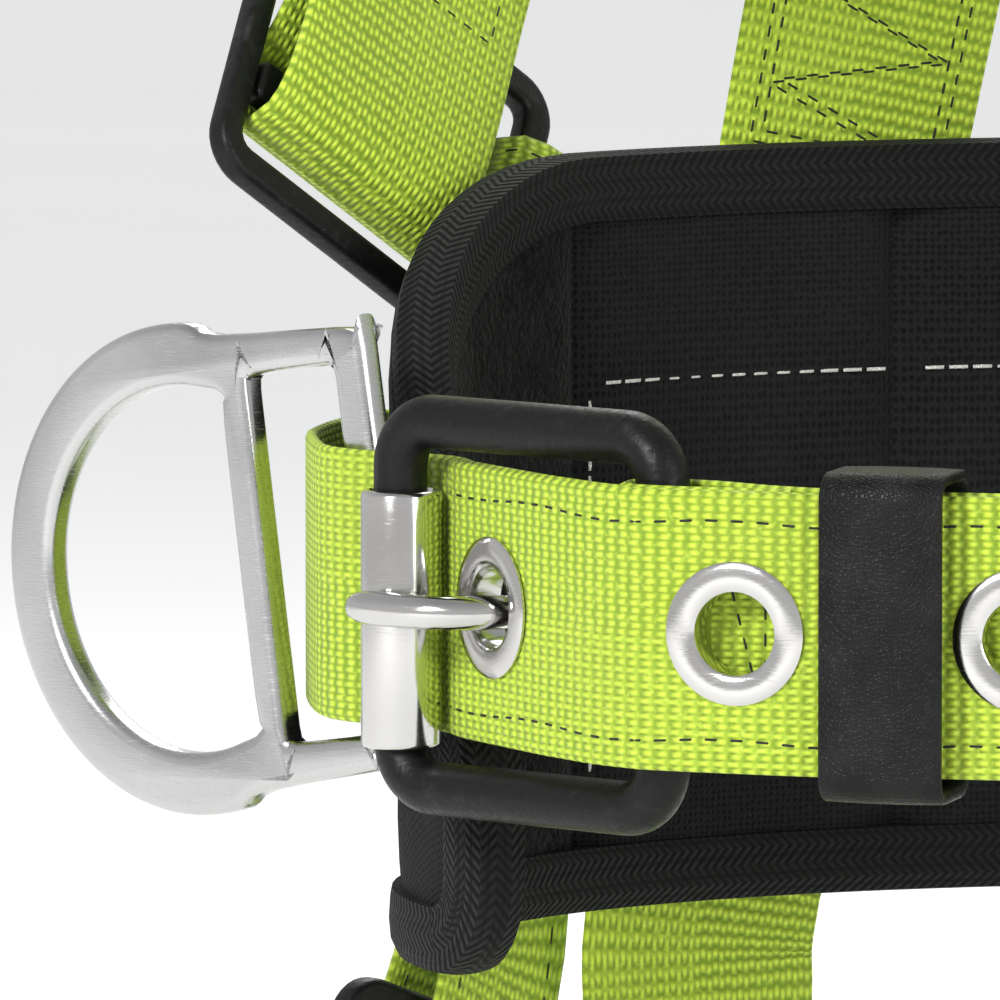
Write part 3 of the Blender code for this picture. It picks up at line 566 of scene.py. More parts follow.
def fleece_material():
    """Short brushed pile, painted darker in its hollows and lighter on its tufts as shade and highlight."""
    nodes = Nodes("black_fleece", 0.95, specular=0.1)
    pile = nodes.plus(nodes.times(nodes.noise(750.0, 6.0), 0.6),
                      nodes.times(nodes.noise(160.0, 4.0), 0.4))
    # Painted shade and highlight: darker where the pile is low, lighter where it stands up
    nodes.colour(nodes.mix(nodes.remap(pile, 0.35, 0.68), (0.001, 0.001, 0.0013), (0.012, 0.012, 0.013)))
    nodes.shader.inputs["Sheen Weight"].default_value = 0.08
    nodes.shader.inputs["Sheen Roughness"].default_value = 0.35
    nodes.bump(pile, 0.0016, 1.0)
    return nodes.material


def thread_material(name, colour):
    """Twisted sewing thread, painted darker in the grooves of its twist as shade."""
    nodes = Nodes(name, 0.55)
    twist = nodes.wave(nodes.noise(1500.0, 1.0), 0.2)
    # Painted shade: a half-bright copy of the thread colour in the twist's grooves, following the relief
    nodes.colour(nodes.mix(twist, tuple(c * 0.5 for c in colour), colour))
    nodes.bump(twist, 0.0002, 0.6)
    return nodes.material


def powder_coat_material():
    """Fine-grained black coating, rubbed through to bright metal on the tightest edges."""
    nodes = Nodes("black_powder_coat", 0.42, specular=0.24)
    peel = nodes.noise(1100.0, 3.0)
    wear = nodes.times(nodes.remap(nodes.noise(95.0, 8.0), 0.55, 0.72),
                      nodes.remap(nodes.new("NewGeometry").outputs["Pointiness"], 0.53, 0.60))
    scuff = nodes.remap(nodes.noise(260.0, 6.0), 0.58, 0.8)
    base = nodes.mix(nodes.times(scuff, 0.5), (0.005, 0.005, 0.0055), (0.03, 0.03, 0.03))
    nodes.colour(nodes.mix(wear, base, (0.55, 0.54, 0.52)))
    nodes.put(nodes.times(wear, 0.9), nodes.shader.inputs["Metallic"])
    nodes.rough(nodes.remap(peel, 0.3, 0.7, 0.34, 0.5))
    nodes.bump(peel, 0.00025, 0.5)
    return nodes.material


def metal_material(name, tone, low, high, grain_depth):
    """Bare metal: faint long scratches, smudges and a slow change of gloss."""
    nodes = Nodes(name, low, metallic=1.0)
    stretch = nodes.new("Mapping")
    stretch.inputs["Scale"].default_value = (1.0, 1.0, 14.0)
    nodes.tree.links.new(nodes.object_places(), stretch.inputs["Vector"])
    grain = nodes.noise(320.0, 8.0, stretch.outputs[0])
    smudge = nodes.remap(nodes.noise(38.0, 5.0), 0.35, 0.7)
    scratch = nodes.remap(grain, 0.58, 0.66)
    nodes.rough(nodes.plus(nodes.remap(smudge, 0.0, 1.0, low, high), nodes.times(scratch, 0.12)))
    nodes.colour(nodes.mix(smudge, tuple(c * 0.86 for c in tone), tone))
    nodes.bump(grain, grain_depth, 0.5)
    return nodes.material


def leather_material():
    """Pebbled black leather with creases, painted darker in the creases' hollows as shade."""
    nodes = Nodes("black_grained_leather", 0.42, specular=0.22)
    cells = nodes.new("TexVoronoi", feature="DISTANCE_TO_EDGE")
    cells.inputs["Scale"].default_value = 1500.0
    nodes.tree.links.new(nodes.object_places(), cells.inputs["Vector"])
    pebble = nodes.remap(cells.outputs["Distance"], 0.0, 0.22)
    crease = nodes.noise(120.0, 6.0)
    height = nodes.plus(nodes.times(pebble, 0.7), nodes.times(crease, 0.4))
    # Painted shade: darker where the crease relief is low, lighter where it is raised
    nodes.colour(nodes.mix(nodes.remap(crease, 0.4, 0.7), (0.0025, 0.0025, 0.003), (0.009, 0.0088, 0.009)))
    nodes.rough(nodes.remap(height, 0.2, 0.9, 0.55, 0.38))
    nodes.bump(height, 0.00012, 0.8)
    return nodes.material


def plastic_material():
    """Fine-grained moulded plastic."""
    nodes = Nodes("moulded_black_plastic", 0.45, specular=0.3)
    grain = nodes.noise(1800.0, 2.0)
    nodes.colour(nodes.mix(nodes.remap(nodes.noise(50.0, 5.0), 0.4, 0.7), (0.006, 0.006, 0.0065),
                           (0.018, 0.018, 0.018)))
    nodes.rough(nodes.remap(grain, 0.3, 0.7, 0.38, 0.55))
    nodes.bump(grain, 0.00015, 0.6)
    return nodes.material


# Each material with the slot that it fills
MATERIALS = {
    "webbing": (webbing_material(), "webbing"),
    "cordura": (black_weave_material("black_cordura"), "black_textile"),
    "elastic": (black_weave_material("black_elastic", 0.0011, 0.0016, 0.014), "black_textile"),
    "herringbone": (herringbone_material(), "black_textile"),
    "air_mesh": (air_mesh_material(), "black_textile"),
    "fleece": (fleece_material(), "black_textile"),
    "black_thread": (thread_material("black_thread", (0.008, 0.009, 0.008)), "black_textile"),
    "white_thread": (thread_material("white_thread", (0.75, 0.75, 0.72)), "black_textile"),
    "powder_coat": (powder_coat_material(), "powder_coat"),
    "polished_steel": (metal_material("polished_steel_worn", (0.66, 0.65, 0.635), 0.10, 0.20, 0.00002),
                       "polished_steel"),
    "satin_alloy": (metal_material("satin_forged_alloy", (0.60, 0.60, 0.60), 0.20, 0.30, 0.00003),
                    "satin_alloy"),
    "leather": (leather_material(), "leather"),
    "plastic": (plastic_material(), "black_plastic"),
}


# ---------------------------------------------------------------- meshes

def add_object(name, data):
    """A new object in the scene."""
    made = bpy.data.objects.new(name, data)
    bpy.context.collection.objects.link(made)
    return made


def add_piece(name, shape, kind, stands_for=(), body=ROOT):
    """A shown piece from (points, faces, texture places), riding on a body."""
    points, faces, places = shape
    material, slot = MATERIALS[kind]
    mesh = bpy.data.meshes.new(name)
    mesh.from_pydata([Vector(p) * MM for p in points], [], faces)
    layer = mesh.uv_layers.new(name="UVMap")
    if places:
        flat = [place for face in places for place in face]
        for loop, (u, v) in zip(layer.data, flat):
            loop.uv = (u * MM, v * MM)
    work = bmesh.new()
    work.from_mesh(mesh)
    bmesh.ops.recalc_face_normals(work, faces=work.faces)
    work.to_mesh(mesh)
    work.free()
    mesh.shade_smooth()
    mesh.set_sharp_from_angle(angle=math.radians(50))
    mesh.materials.append(material)
    piece = add_object(name, mesh)
    if stands_for:
        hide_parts(*stands_for)
    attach(piece, body)
    return piece


def tube(rings, lengths, across, closed=False):
    """Points, faces and texture places of a tube through equal rings."""
    count = len(rings[0])
    points = [p for ring in rings for p in ring]
    faces, places = [], []
    for i in range(len(rings) if closed else len(rings) - 1):
        a, b = i * count, ((i + 1) % len(rings)) * count
        for j in range(count):
            k = (j + 1) % count
            faces.append((a + j, a + k, b + k, b + j))
            places.append([(lengths[i], across[j]), (lengths[i], across[k]),
                           (lengths[i + 1], across[k]), (lengths[i + 1], across[j])])
    if not closed:
        for start, length in ((0, lengths[0]), (len(points) - count, lengths[-1])):
            faces.append(tuple(range(start, start + count)))
            places.append([(length, v) for v in across])
    return points, faces, places


class Run:
    """A path of (point, normal) pairs with its own frame at each point, walked by length."""

    def __init__(self, path, closed=False):
        self.closed = closed
        self.points = [Vector(p) for p, _ in path]
        self.lengths = [0.0]
        self.across, self.out = [], []
        for i, (_, normal) in enumerate(path):
            along = travel(self.points, i, closed)
            across = along.cross(Vector(normal)).normalized()
            self.across.append(across)
            self.out.append(across.cross(along).normalized())
        ends = self.points[1:] + ([self.points[0]] if closed else [])
        for here, there in zip(self.points, ends):
            self.lengths.append(self.lengths[-1] + (there - here).length)
        self.length = self.lengths[-1]

    def at(self, length, u=0.0, v=0.0):
        """The point that far along, moved u across and v outwards."""
        length = min(max(length, 0.0), self.length - 1e-6)
        i = next(k for k in range(len(self.lengths) - 1) if self.lengths[k + 1] > length)
        j = (i + 1) % len(self.points)
        part = (length - self.lengths[i]) / (self.lengths[i + 1] - self.lengths[i])
        across = self.across[i].lerp(self.across[j], part)
        out = self.out[i].lerp(self.out[j], part)
        return self.points[i].lerp(self.points[j], part) + across * u + out * v

    def swept(self, section):
        rings = [[p + x * u + n * v for u, v in section]
                 for p, x, n in zip(self.points, self.across, self.out)]
        lengths = self.lengths if self.closed else self.lengths[:len(rings)]
        return tube(rings, lengths, [u for u, _ in section], self.closed)


def web_section(width=WEB_WIDTH):
    """A flat strap's section with rounded edges."""
    half, deep, columns = width / 2 - WEB_THICK / 2, WEB_THICK / 2, 8
    section = [(-half + 2 * half * i / columns, -deep) for i in range(columns + 1)]
    section += [(half + deep * math.cos(a), deep * math.sin(a))
                for a in (math.radians(d) for d in (-50, 0, 50))]
    section += [(-u, -v) for u, v in section]
    return section


def finer(path, step):
    """A run along the smooth curve through a path."""
    return Run(smooth_path(path, step))


# Stitches: raised beads whose ends sink into the cloth
STITCH_LENGTH, STITCH_GAP, STITCH_WIDTH, STITCH_HEIGHT = 3.3, 0.9, 0.6, 0.4
STITCH_SINK = 0.25
STITCH_ARCH = ((-1, 0.0), (-0.6, 0.8), (0, 1.0), (0.6, 0.8), (1, 0.0))     # (across, up)


def stitches(run, corners, lift):
    """Raised stitches along a line of (along, across) corners on a run, lift above its middle."""
    points, faces = [], []
    for (a, u), (b, w) in zip(corners, corners[1:]):
        reach = math.hypot(b - a, w - u)
        count = max(1, round(reach / (STITCH_LENGTH + STITCH_GAP)))
        for i in range(count):
            start, end = i / count, (i + STITCH_LENGTH / (STITCH_LENGTH + STITCH_GAP)) / count
            spots = [(a + (b - a) * t, u + (w - u) * t)
                     for t in (start, start * 0.72 + end * 0.28, start * 0.28 + end * 0.72, end)]
            side = Vector((w - u, -(b - a))) / (reach or 1.0) * STITCH_WIDTH / 2
            first = len(points)
            for (s, v), rise in zip(spots, (0.0, STITCH_HEIGHT, STITCH_HEIGHT, 0.0)):
                for k, up in STITCH_ARCH:
                    level = lift - math.copysign(STITCH_SINK, lift) + math.copysign(rise * up, lift)
                    points.append(run.at(s + side[0] * k, v + side[1] * k, level))
            for ring in range(3):
                for k in range(4):
                    p = first + ring * 5 + k
                    faces.append((p, p + 1, p + 6, p + 5))
                p = first + ring * 5
                faces.append((p + 4, p, p + 5, p + 9))
            faces.append(tuple(first + k for k in range(5)))
            faces.append(tuple(first + 15 + k for k in range(5)))
    return points, faces


def add_stitching(name, lines, thread="black_thread"):
    """One piece from several stitched lines of (run, corners, lift)."""
    points, faces = [], []
    for run, corners, lift in lines:
        more, rows = stitches(run, corners, lift)
        faces += [tuple(i + len(points) for i in row) for row in rows]
        points += more
    add_piece(name, (points, faces, None), thread)


def edge_lines(run, start, end, half):
    """A stitched line each side of a strap's middle, half away from it, on both faces, slightly wavy."""
    lines = []
    for side in (1, -1):
        for edge in (-1, 1):
            corners, s, step = [], start, 0
            while s < end:
                corners.append((s, edge * half + 0.5 * math.sin(step * 1.3)))
                s += 8.6
                step += 1
            corners.append((end, edge * half))
            lines.append((run, corners, side * WEB_THICK / 2))
    return lines


def box_lines(run, start, end, half, lift, zigzags=2):
    """A box stitch with a zigzag in it."""
    box = [(start, -half), (end, -half), (end, half), (start, half), (start, -half)]
    count = 2 * zigzags
    zig = [(start + (end - start) * i / count, half * (1 if i % 2 else -1) * 0.9) for i in range(count + 1)]
    return [(run, box, lift), (run, zig, lift)]


def boxes_through(run, boxes):
    """Box stitches on both faces, as (start, end, half, zigzags); below 0 counts from the far end."""
    lines = []
    for face in (1.0, -1.0):
        for start, end, half, zigzags in boxes:
            origin = run.length if start < 0 else 0.0
            lines += box_lines(run, origin + start, origin + end, half, face, zigzags)
    return lines


def measured(line):
    """The length along a line of 2-D points, at each of its points."""
    lengths = [0.0]
    for a, b in zip(line, line[1:]):
        lengths.append(lengths[-1] + math.hypot(b[0] - a[0], b[1] - a[1]))
    return lengths


def turned(profile, sides, place):
    """Turn a closed (radius, height) profile about the Z axis of place."""
    rings = []
    for i in range(sides):
        angle = 2 * math.pi * i / sides
        rings.append([place @ Vector((r * math.cos(angle), r * math.sin(angle), h))
                      for r, h in profile])
    mean = sum(r for r, _ in profile) / len(profile)
    lengths = [2 * math.pi * mean * i / sides for i in range(sides + 1)]
    return tube(rings, lengths, measured(profile), closed=True)


def inset(loop, amount):
    """A closed outline moved inwards by amount, or outwards if it is negative."""
    count = len(loop)
    area = sum(loop[i - 1][0] * loop[i][1] - loop[i][0] * loop[i - 1][1] for i in range(count))
    turn = math.copysign(1.0, area)
    moved = []
    for i in range(count):
        here = Vector(loop[i])
        before = (here - Vector(loop[i - 1])).normalized()
        after = (Vector(loop[(i + 1) % count]) - here).normalized()
        bisector = (Vector((-before.y, before.x)) + Vector((-after.y, after.x))).normalized()
        spread = max(0.5, bisector.dot(Vector((-after.y, after.x))))
        moved.append(tuple(here + bisector * (turn * amount / spread)))
    return moved


def rounder(loop, parts=3):
    """A closed outline with extra points on a smooth curve through its own."""
    count = len(loop)
    curve = []
    for i in range(count):
        a, b, c, d = (Vector(loop[(i + k) % count]) for k in (-1, 0, 1, 2))
        for j in range(parts):
            t = j / parts
            curve.append(tuple(b + (c - a) * (t / 2) + (a * 2 - b * 5 + c * 4 - d) * (t * t / 2)
                               + (b * 3 - a - c * 3 + d) * (t ** 3 / 2)))
    return curve


def plate(outline, holes, thick, place, soft=0.8, steps=4):
    """A flat plate with holes and rounded edges: outlines are (x, y), thickness along place's Z."""
    loops = [(outline, 1.0)] + [(hole, -1.0) for hole in holes]
    rows = []
    for i in range(steps + 1):
        angle = math.pi / 2 * i / steps
        rows.append((soft * (1 - math.cos(angle)), thick / 2 - soft + soft * math.sin(angle)))
    rows = [(depth, -height) for depth, height in reversed(rows)] + rows
    points, faces, caps = [], [], []
    for loop, side in loops:
        start, count = len(points), len(loop)
        for depth, height in rows:
            points += [(x, y, height) for x, y in inset(loop, side * depth)]
        for ring in range(len(rows) - 1):
            for i in range(count):
                a, b = start + ring * count + i, start + ring * count + (i + 1) % count
                faces.append((a, b, b + count, a + count))
        caps.append((start, start + (len(rows) - 1) * count, count))
    for level in (0, 1):
        index = [cap[level] + i for cap in caps for i in range(cap[2])]
        flat = [[Vector((points[cap[level] + i][0], points[cap[level] + i][1], 0)) for i in range(cap[2])]
                for cap in caps]
        faces += [tuple(index[i] for i in triangle) for triangle in tessellate_polygon(flat)]
    spots = [(x, y) for x, y, _ in points]
    return [place @ Vector(p) for p in points], faces, [[spots[i] for i in face] for face in faces]


def mirrored(shape):
    """The same shape on the wearer's other side."""
    points, faces, places = shape
    return [mirror(p) for p in points], faces, places


# ---------------------------------------------------------------- belt, buckle and keeper

def add_cutter(name, place, radius, half):
    """A round bar along place's Z, to cut a hole with."""
    rings = [[place @ Vector((u, v, z)) for u, v in round_section(radius, 40)] for z in (-half, half)]
    points, faces, _ = tube(rings, [0, 1], [0] * 40)
    mesh = bpy.data.meshes.new(name)
    mesh.from_pydata([Vector(p) * MM for p in points], [], faces)
    return add_object(name, mesh)


def cut_with(piece, tools):
    """Cut the tools out of the piece for good."""
    for tool in tools:
        step = piece.modifiers.new("cut", "BOOLEAN")
        step.operation = "DIFFERENCE"
        step.object = tool
    evaluated = piece.evaluated_get(bpy.context.evaluated_depsgraph_get())
    made = bpy.data.meshes.new_from_object(evaluated)
    piece.modifiers.clear()
    piece.data = made


def make_belt():
    """The belt with its holes, the second layer of its free end, and their stitching."""
    belt = finer(belt_path(), 2.5)
    main = add_piece("waist_belt_woven", belt.swept(web_section()), "webbing", ["waist_belt_webbing"])
    layer_path = [belt_at(s, out + LAYER / 2) for s, out in FREE_END if s >= LAYER_FROM]
    layer = finer(layer_path, 2.5)
    top = add_piece("belt_free_end_woven", layer.swept(web_section()), "webbing", ["belt_free_end_layer"])
    tools = [add_cutter(f"hole_{i}", grommet_place(s), STRAP_HOLE_R, 4.0)
             for i, s in enumerate(GROMMET_AT)]
    slot_place = frame_at(ANCHOR_AXIS, (1, 0, 0), (0, 1, 0))
    cut_with(top, tools)
    tools.append(add_cutter("tongue_slot", slot_place, 7.35, 4.6))
    cut_with(main, tools)
    for tool in tools:
        bpy.data.objects.remove(tool)
    lines = edge_lines(layer, 8.0, layer.length - 4.0, WEB_WIDTH / 2 - 5.0)
    lines += box_lines(layer, layer.length - 26.0, layer.length - 5.0, 15.0, 1.0)
    lines += box_lines(belt, 4.0, 20.0, 17.0, 1.0, 1)
    add_stitching("belt_stitching", lines)


def make_grommets():
    """Rolled eyelets: a flared barrel with a round bead on each face."""
    face = LAYER / 2 + WEB_THICK / 2 + GAP
    profile = [(GROMMET_HOLE_R + 0.1, -face + 0.6)]
    profile += [(GROMMET_HOLE_R + 2.6 - 2.5 * math.cos(a), -face - 0.85 * math.sin(a) ** 0.8)
                for a in (math.pi * i / 10 for i in range(1, 10))]
    profile += [(GROMMET_R, -face - 0.15), (GROMMET_R, -face + 0.05), (GROMMET_BARREL_R, -face + 0.1)]
    profile += [(r, -h) for r, h in reversed(profile)]
    for number, s in enumerate(GROMMET_AT, 1):
        add_piece(f"grommet_rolled_{number}", turned(profile, 72, grommet_place(s)), "polished_steel",
                  [f"belt_grommet_{number}"])


def make_buckle():
    """The bent bar, the roller on its free upright, and the tongue on the other."""
    outline = rounded_rectangle(2 * BUCKLE_HALF_SPAN, 2 * BUCKLE_HALF_HEIGHT, BUCKLE_CORNER, steps=12)
    turn = BUCKLE_FRAME.to_3x3()
    path = [(BUCKLE_FRAME @ Vector((x, y, 0)), turn @ Vector((0, 0, 1))) for x, y in outline]
    add_piece("buckle_bent_bar", Run(path, closed=True).swept(round_section(BAR_R, 28)),
              "powder_coat", ["buckle_frame"])
    half, soft = ROLLER_LENGTH / 2, 0.8
    upright = frame_at(ROLLER_AXIS, (1, 0, 0), (0, 1, 0))
    upright.translation.z -= ROLLER_DROP
    profile = [(ROLLER_BORE_R, -half + soft), (ROLLER_BORE_R + 0.5, -half), (ROLLER_R - soft, -half),
               (ROLLER_R - 0.25, -half + 0.25), (ROLLER_R, -half + soft)]
    profile += [(r, -h) for r, h in reversed(profile)]
    add_piece("roller_sleeve", turned(profile, 64, upright), "polished_steel", ["buckle_roller"],
              "buckle_roller_body")

    side = turn @ Vector((0, 1, 0))
    knots = [(22.9, -3.2), (15, -6.4), (6, -8.2), (0.5, -7.0), (-3.4, -3.0), (-6.2, 2.4), (-10, 7.0),
             (-16, 9.9), (-26, 9.9), (-30.5, 9.8)]
    rod = finer([(BUCKLE_FRAME @ Vector((s, 0.0, out)), side) for s, out in knots], 1.5)
    rings, taper = [], 5.0
    for p, x, n, length in zip(rod.points, rod.across, rod.out, rod.lengths):
        left = min(rod.length - length, taper)
        radius = TONGUE_R * (0.35 + 0.65 * math.sqrt(max(0.0, 1 - (1 - left / taper) ** 2)))
        rings.append([p + x * u + n * v for u, v in round_section(radius, 20)])
    around = [2 * math.pi * TONGUE_R * i / 20 for i in range(20)]
    add_piece("tongue_rod", tube(rings, rod.lengths[:len(rings)], around), "polished_steel",
              ["buckle_tongue"], "buckle_tongue_body")
    eye = [(BAR_R + GAP, -3.9), (6.6, -3.9), (7.0, -3.5), (7.0, 3.5), (6.6, 3.9), (BAR_R + GAP, 3.9)]
    add_piece("tongue_eye", turned(eye, 48, frame_at(ANCHOR_AXIS, (1, 0, 0), (0, 1, 0))),
              "polished_steel", body="buckle_tongue_body")


def make_keeper():
    """A folded leather loop."""
    centre, normal = belt_at(69.5)
    place = frame_at(centre, (0, 0, 1), normal)
    low, high, half, thick = -2.9, 12.6, 24.4, 1.8
    middle = (low + high) / 2
    outline = rounded_rectangle(2 * half + thick, high - low + thick, 3.6, (0.0, middle), 8)
    turn = place.to_3x3()
    path = [(place @ Vector((x, y, 0.0)), turn @ Vector((x * 0.2, y - middle, 0.0))) for x, y in outline]
    run = Run(path, closed=True)
    section = [(-9.6, -0.9), (9.6, -0.9), (10.0, -0.5), (10.0, 0.5), (9.6, 0.9), (4.0, 1.05), (-4.0, 1.05),
               (-9.6, 0.9), (-10.0, 0.5), (-10.0, -0.5)]
    rings, across = [], turn @ Vector((0, 0, 1))
    for i, p in enumerate(run.points):
        out = travel(run.points, i, True).cross(across)
        if out.dot(p - place @ Vector((0, middle, 0))) < 0:
            out = -out
        rings.append([p + across * u + out * v for u, v in section])
    add_piece("keeper_leather", tube(rings, run.lengths, [u for u, _ in section], closed=True),
              "leather", ["belt_leather_keeper"], "belt_leather_keeper_body")


# ---------------------------------------------------------------- pad

PAD_THICK = COVER_T + FOAM_T + LINING_T + 2 * GAP
SEAM_NEAR, SEAM_MIDDLE = 118.0, 61.0     # distance of the lining's seams from the middle, in x
SEAM_Z = 26.0


def fine_stations(step):
    """Distances from the pad's middle at even steps, closer together near the ends."""
    count = round(2 * PAD_HALF / step)
    even = [-PAD_HALF + 2 * PAD_HALF * i / count for i in range(count + 1)]
    ends = [PAD_HALF - d for d in (0.4, 1.2, 2.5, 4.0, 6.5, 8.5, 11.5, 13.5)]
    return sorted(set(even + ends + [-s for s in ends]))


def patch(first, last, base, crown, pinch=9.0, rows=16):
    """A crowned closed panel of the pad from distance first to last, base deep at its back."""
    stations = [s for s in fine_stations(4.0) if first < s < last]
    stations = [first] + stations + [last]
    rings, lengths = [], []
    for s in stations:
        d = PAD_HALF - abs(s)
        low, high = pad_bottom(d) + PAD_INSET, pad_top(d) - PAD_INSET
        shrink = s * (1 - PAD_INSET / PAD_HALF)
        back, front = [], []
        for i in range(rows + 1):
            z = low + (high - low) * (0.5 - 0.5 * math.cos(math.pi * i / rows))
            edge = min(s - first, last - s, z - low + 1.0, high - z + 1.0)
            ease = 1 - math.exp(-max(edge, 0.0) / pinch * 2.2)
            dimple = 0.25 * math.sin(s * 0.21 + z * 0.07) * math.sin(z * 0.17 - s * 0.05)
            back.append(PAD.at(PAD.length / 2 + shrink, -base, z)[0])
            front.append(PAD.at(PAD.length / 2 + shrink, -base - crown * (ease * (1 + 0.25 * dimple)), z)[0])
        rings.append(back + front[::-1])
        lengths.append(s)
    heights = [PAD_BOTTOM + (PAD_TOP - PAD_BOTTOM) * i / rows for i in range(rows + 1)]
    return tube(rings, lengths, heights + heights[::-1])


def make_pad():
    """A foam body under a woven cover, and lining panels that puff up between their seams."""
    cover = add_piece("pad_woven_cover", patch(-PAD_HALF, PAD_HALF, 5.2, -5.6), "cordura",
                      ["pad_outer_cover", "pad_foam_core"])
    near, middle = back_distance(SEAM_NEAR), back_distance(SEAM_MIDDLE)
    spans = ((-PAD_HALF, -near, "fleece", "end_right"),
             (-near, -middle, "air_mesh", "mesh_right"),
             (-middle, middle, "air_mesh", "mesh_middle"),
             (middle, near, "air_mesh", "mesh_left"),
             (near, PAD_HALF, "fleece", "end_left"))
    for first, last, material, label in spans:
        stands = ["pad_inner_lining"] if label == "mesh_middle" else []
        panel = add_piece(f"pad_lining_{label}", patch(first, last, 5.0, 3.6), material, stands)
    make_pad_stitching(near, middle)


def back_distance(x):
    """Distance round the pad from the back's middle to the place behind with this x."""
    return abs(PAD.where_x(x))


def lining_run(z, first, last, depth):
    """A level run over the lining at height z."""
    path = []
    s = first
    while s <= last:
        point, normal = PAD.at(PAD.length / 2 + s, -depth, z)
        path.append((point, -normal))
        s += 4.0
    return Run(path)


def make_pad_stitching(near, middle):
    """White seams on the lining: a dashed line under the top edge and one down each outer seam."""
    depth, lift = 5.0 + 3.4, 0.25
    runs = [lining_run(SEAM_Z, first, last, depth)
            for first, last in ((-near + 2, -middle - 2), (-middle + 3, middle - 3), (middle + 2, near - 2))]
    for s in (-near, near):
        inside = math.copysign(2.5, -s)
        column = [PAD.at(PAD.length / 2 + s + inside, -depth + 0.8, z) for z in range(-40, round(SEAM_Z), 4)]
        runs.append(Run([(p, -n) for p, n in column]))
    lines = [(run, [(0.0, 0.0), (run.length, 0.0)], lift) for run in runs]
    add_stitching("pad_lining_stitching", lines, "white_thread")


def make_binding():
    """Herringbone tape folded over the pad's whole edge."""
    stations = fine_stations(6.0)
    outline = [(s, pad_top(PAD_HALF - abs(s))) for s in stations]
    outline += [(s, pad_bottom(PAD_HALF - abs(s))) for s in reversed(stations)]
    count = len(outline)
    low, high, edge = -BINDING_GAP - 0.4, PAD_THICK + BINDING_GAP + 0.2, GAP + BINDING_T
    fold = [(-BINDING_LEG, low + 1.0), (-BINDING_LEG, low - 0.3), (-BINDING_LEG + 1.5, low - 0.6),
            (-BINDING_LEG / 2, low - 0.8), (-1.6, low - 0.5), (edge - 0.5, low + 0.6),
            (edge, PAD_THICK * 0.3), (edge, PAD_THICK * 0.7), (edge - 0.5, high - 0.6), (-1.6, high + 0.5),
            (-BINDING_LEG / 2, high + 0.8), (-BINDING_LEG + 1.5, high + 0.6), (-BINDING_LEG, high + 0.3),
            (-BINDING_LEG, high - 1.0)]
    rings, lengths = [], measured(outline + outline[:1])
    for i, (s, z) in enumerate(outline):
        before, after = outline[i - 1], outline[(i + 1) % count]
        run = Vector((after[0] - before[0], after[1] - before[1])).normalized()
        away = Vector((-run.y, run.x))
        rings.append([PAD.at(PAD.length / 2 + s + away.x * reach, -depth, z + away.y * reach)[0]
                      for reach, depth in fold])
    add_piece("pad_binding_tape", tube(rings, lengths, measured(fold), closed=True), "herringbone",
              ["pad_edge_binding"])


# ---------------------------------------------------------------- rings, slides and plates

def hip_ring_place():
    """Frame of the right hip ring at its rear bar, x towards the eye."""
    lean = math.radians(DRING_LEAN)
    level = Vector((-0.73, 0.683, 0.0)).normalized()
    x_axis = level * math.cos(lean) - Vector((0, 0, 1)) * math.sin(lean)
    y_axis = Vector((0, 0, 1)) * math.cos(lean) + level * math.sin(lean)
    return frame_at(HIP_HINGE, x_axis, y_axis)


def make_rings():
    """Forged D-rings with broad rounded edges."""
    outer, holes = dring_outline()
    outer, holes = rounder(outer), [rounder(hole) for hole in holes]
    right = plate(outer, holes, DRING_THICK, hip_ring_place(), 2.0, 6)
    for side, shape in (("right", right), ("left", mirrored(right))):
        add_piece(f"hip_ring_forged_{side}", shape, "satin_alloy", [f"hip_dring_{side}"],
                  f"hip_dring_{side}_body")
    hang = math.radians(DORSAL_HANG)
    axis = (0.0, PLATE_Y + PLATE_T / 2 + 6.0, PLATE_Z)
    place = frame_at(axis, (0, math.sin(hang), -math.cos(hang)), (1, 0, 0))
    add_piece("dorsal_ring_forged", plate(outer, holes, DRING_THICK, place, 2.0, 6), "satin_alloy",
              ["dorsal_dring"], "dorsal_dring_body")


def pair_of_plates(name, shape, node, moves=False):
    """A coated plate on each side, fixed to the harness or moving on its node's own body."""
    for side, one in (("right", shape), ("left", mirrored(shape))):
        body = f"{node}_{side}_body" if moves else ROOT
        add_piece(f"{name}_{side}", one, "powder_coat", [f"{node}_{side}"], body)


def make_slides():
    """Torso links and leg buckles, each a frame with a loose grip bar."""
    outer = rounded_rectangle(LINK_WIDTH, LINK_HEIGHT, 8.0, steps=8)
    wide = rounded_rectangle(WINDOW, WINDOW, 2.5, (5.9, 0.0), 4)
    narrow = rounded_rectangle(6.0, WINDOW, 2.0, (-25.0, 0.0), 4)
    pair_of_plates("torso_link_coated", plate(outer, [wide, narrow], SLIDE_THICK, LINK_PLACE, 1.3),
                   "torso_link_frame")
    grip = LINK_PLACE.copy()
    grip.translation = LINK_PLACE @ LINK_GRIP
    bar = rounded_rectangle(WINDOW - 1.0, 8.0, 2.0, steps=5)
    pair_of_plates("torso_grip_coated", plate(bar, [], SLIDE_THICK, grip, 1.5), "torso_link_grip_bar",
                   moves=True)
    outer = rounded_rectangle(SLIDE_WIDTH, SLIDE_LENGTH, 8.0, steps=8)
    inner_width = SLIDE_WIDTH - 2 * SLIDE_RAIL
    inner = rounded_rectangle(inner_width, SLIDE_LENGTH - 2 * SLIDE_END_BAR, 2.5, steps=4)
    pair_of_plates("leg_buckle_coated", plate(outer, [inner], SLIDE_THICK, LEG_BUCKLE_PLACE, 1.3),
                   "leg_buckle_frame")
    bar = rounded_rectangle(inner_width - 1.0, 8.0, 2.0, steps=5)
    pair_of_plates("leg_grip_coated", plate(bar, [], SLIDE_THICK, LEG_BUCKLE_PLACE, 1.5),
                   "leg_buckle_grip_bar", moves=True)


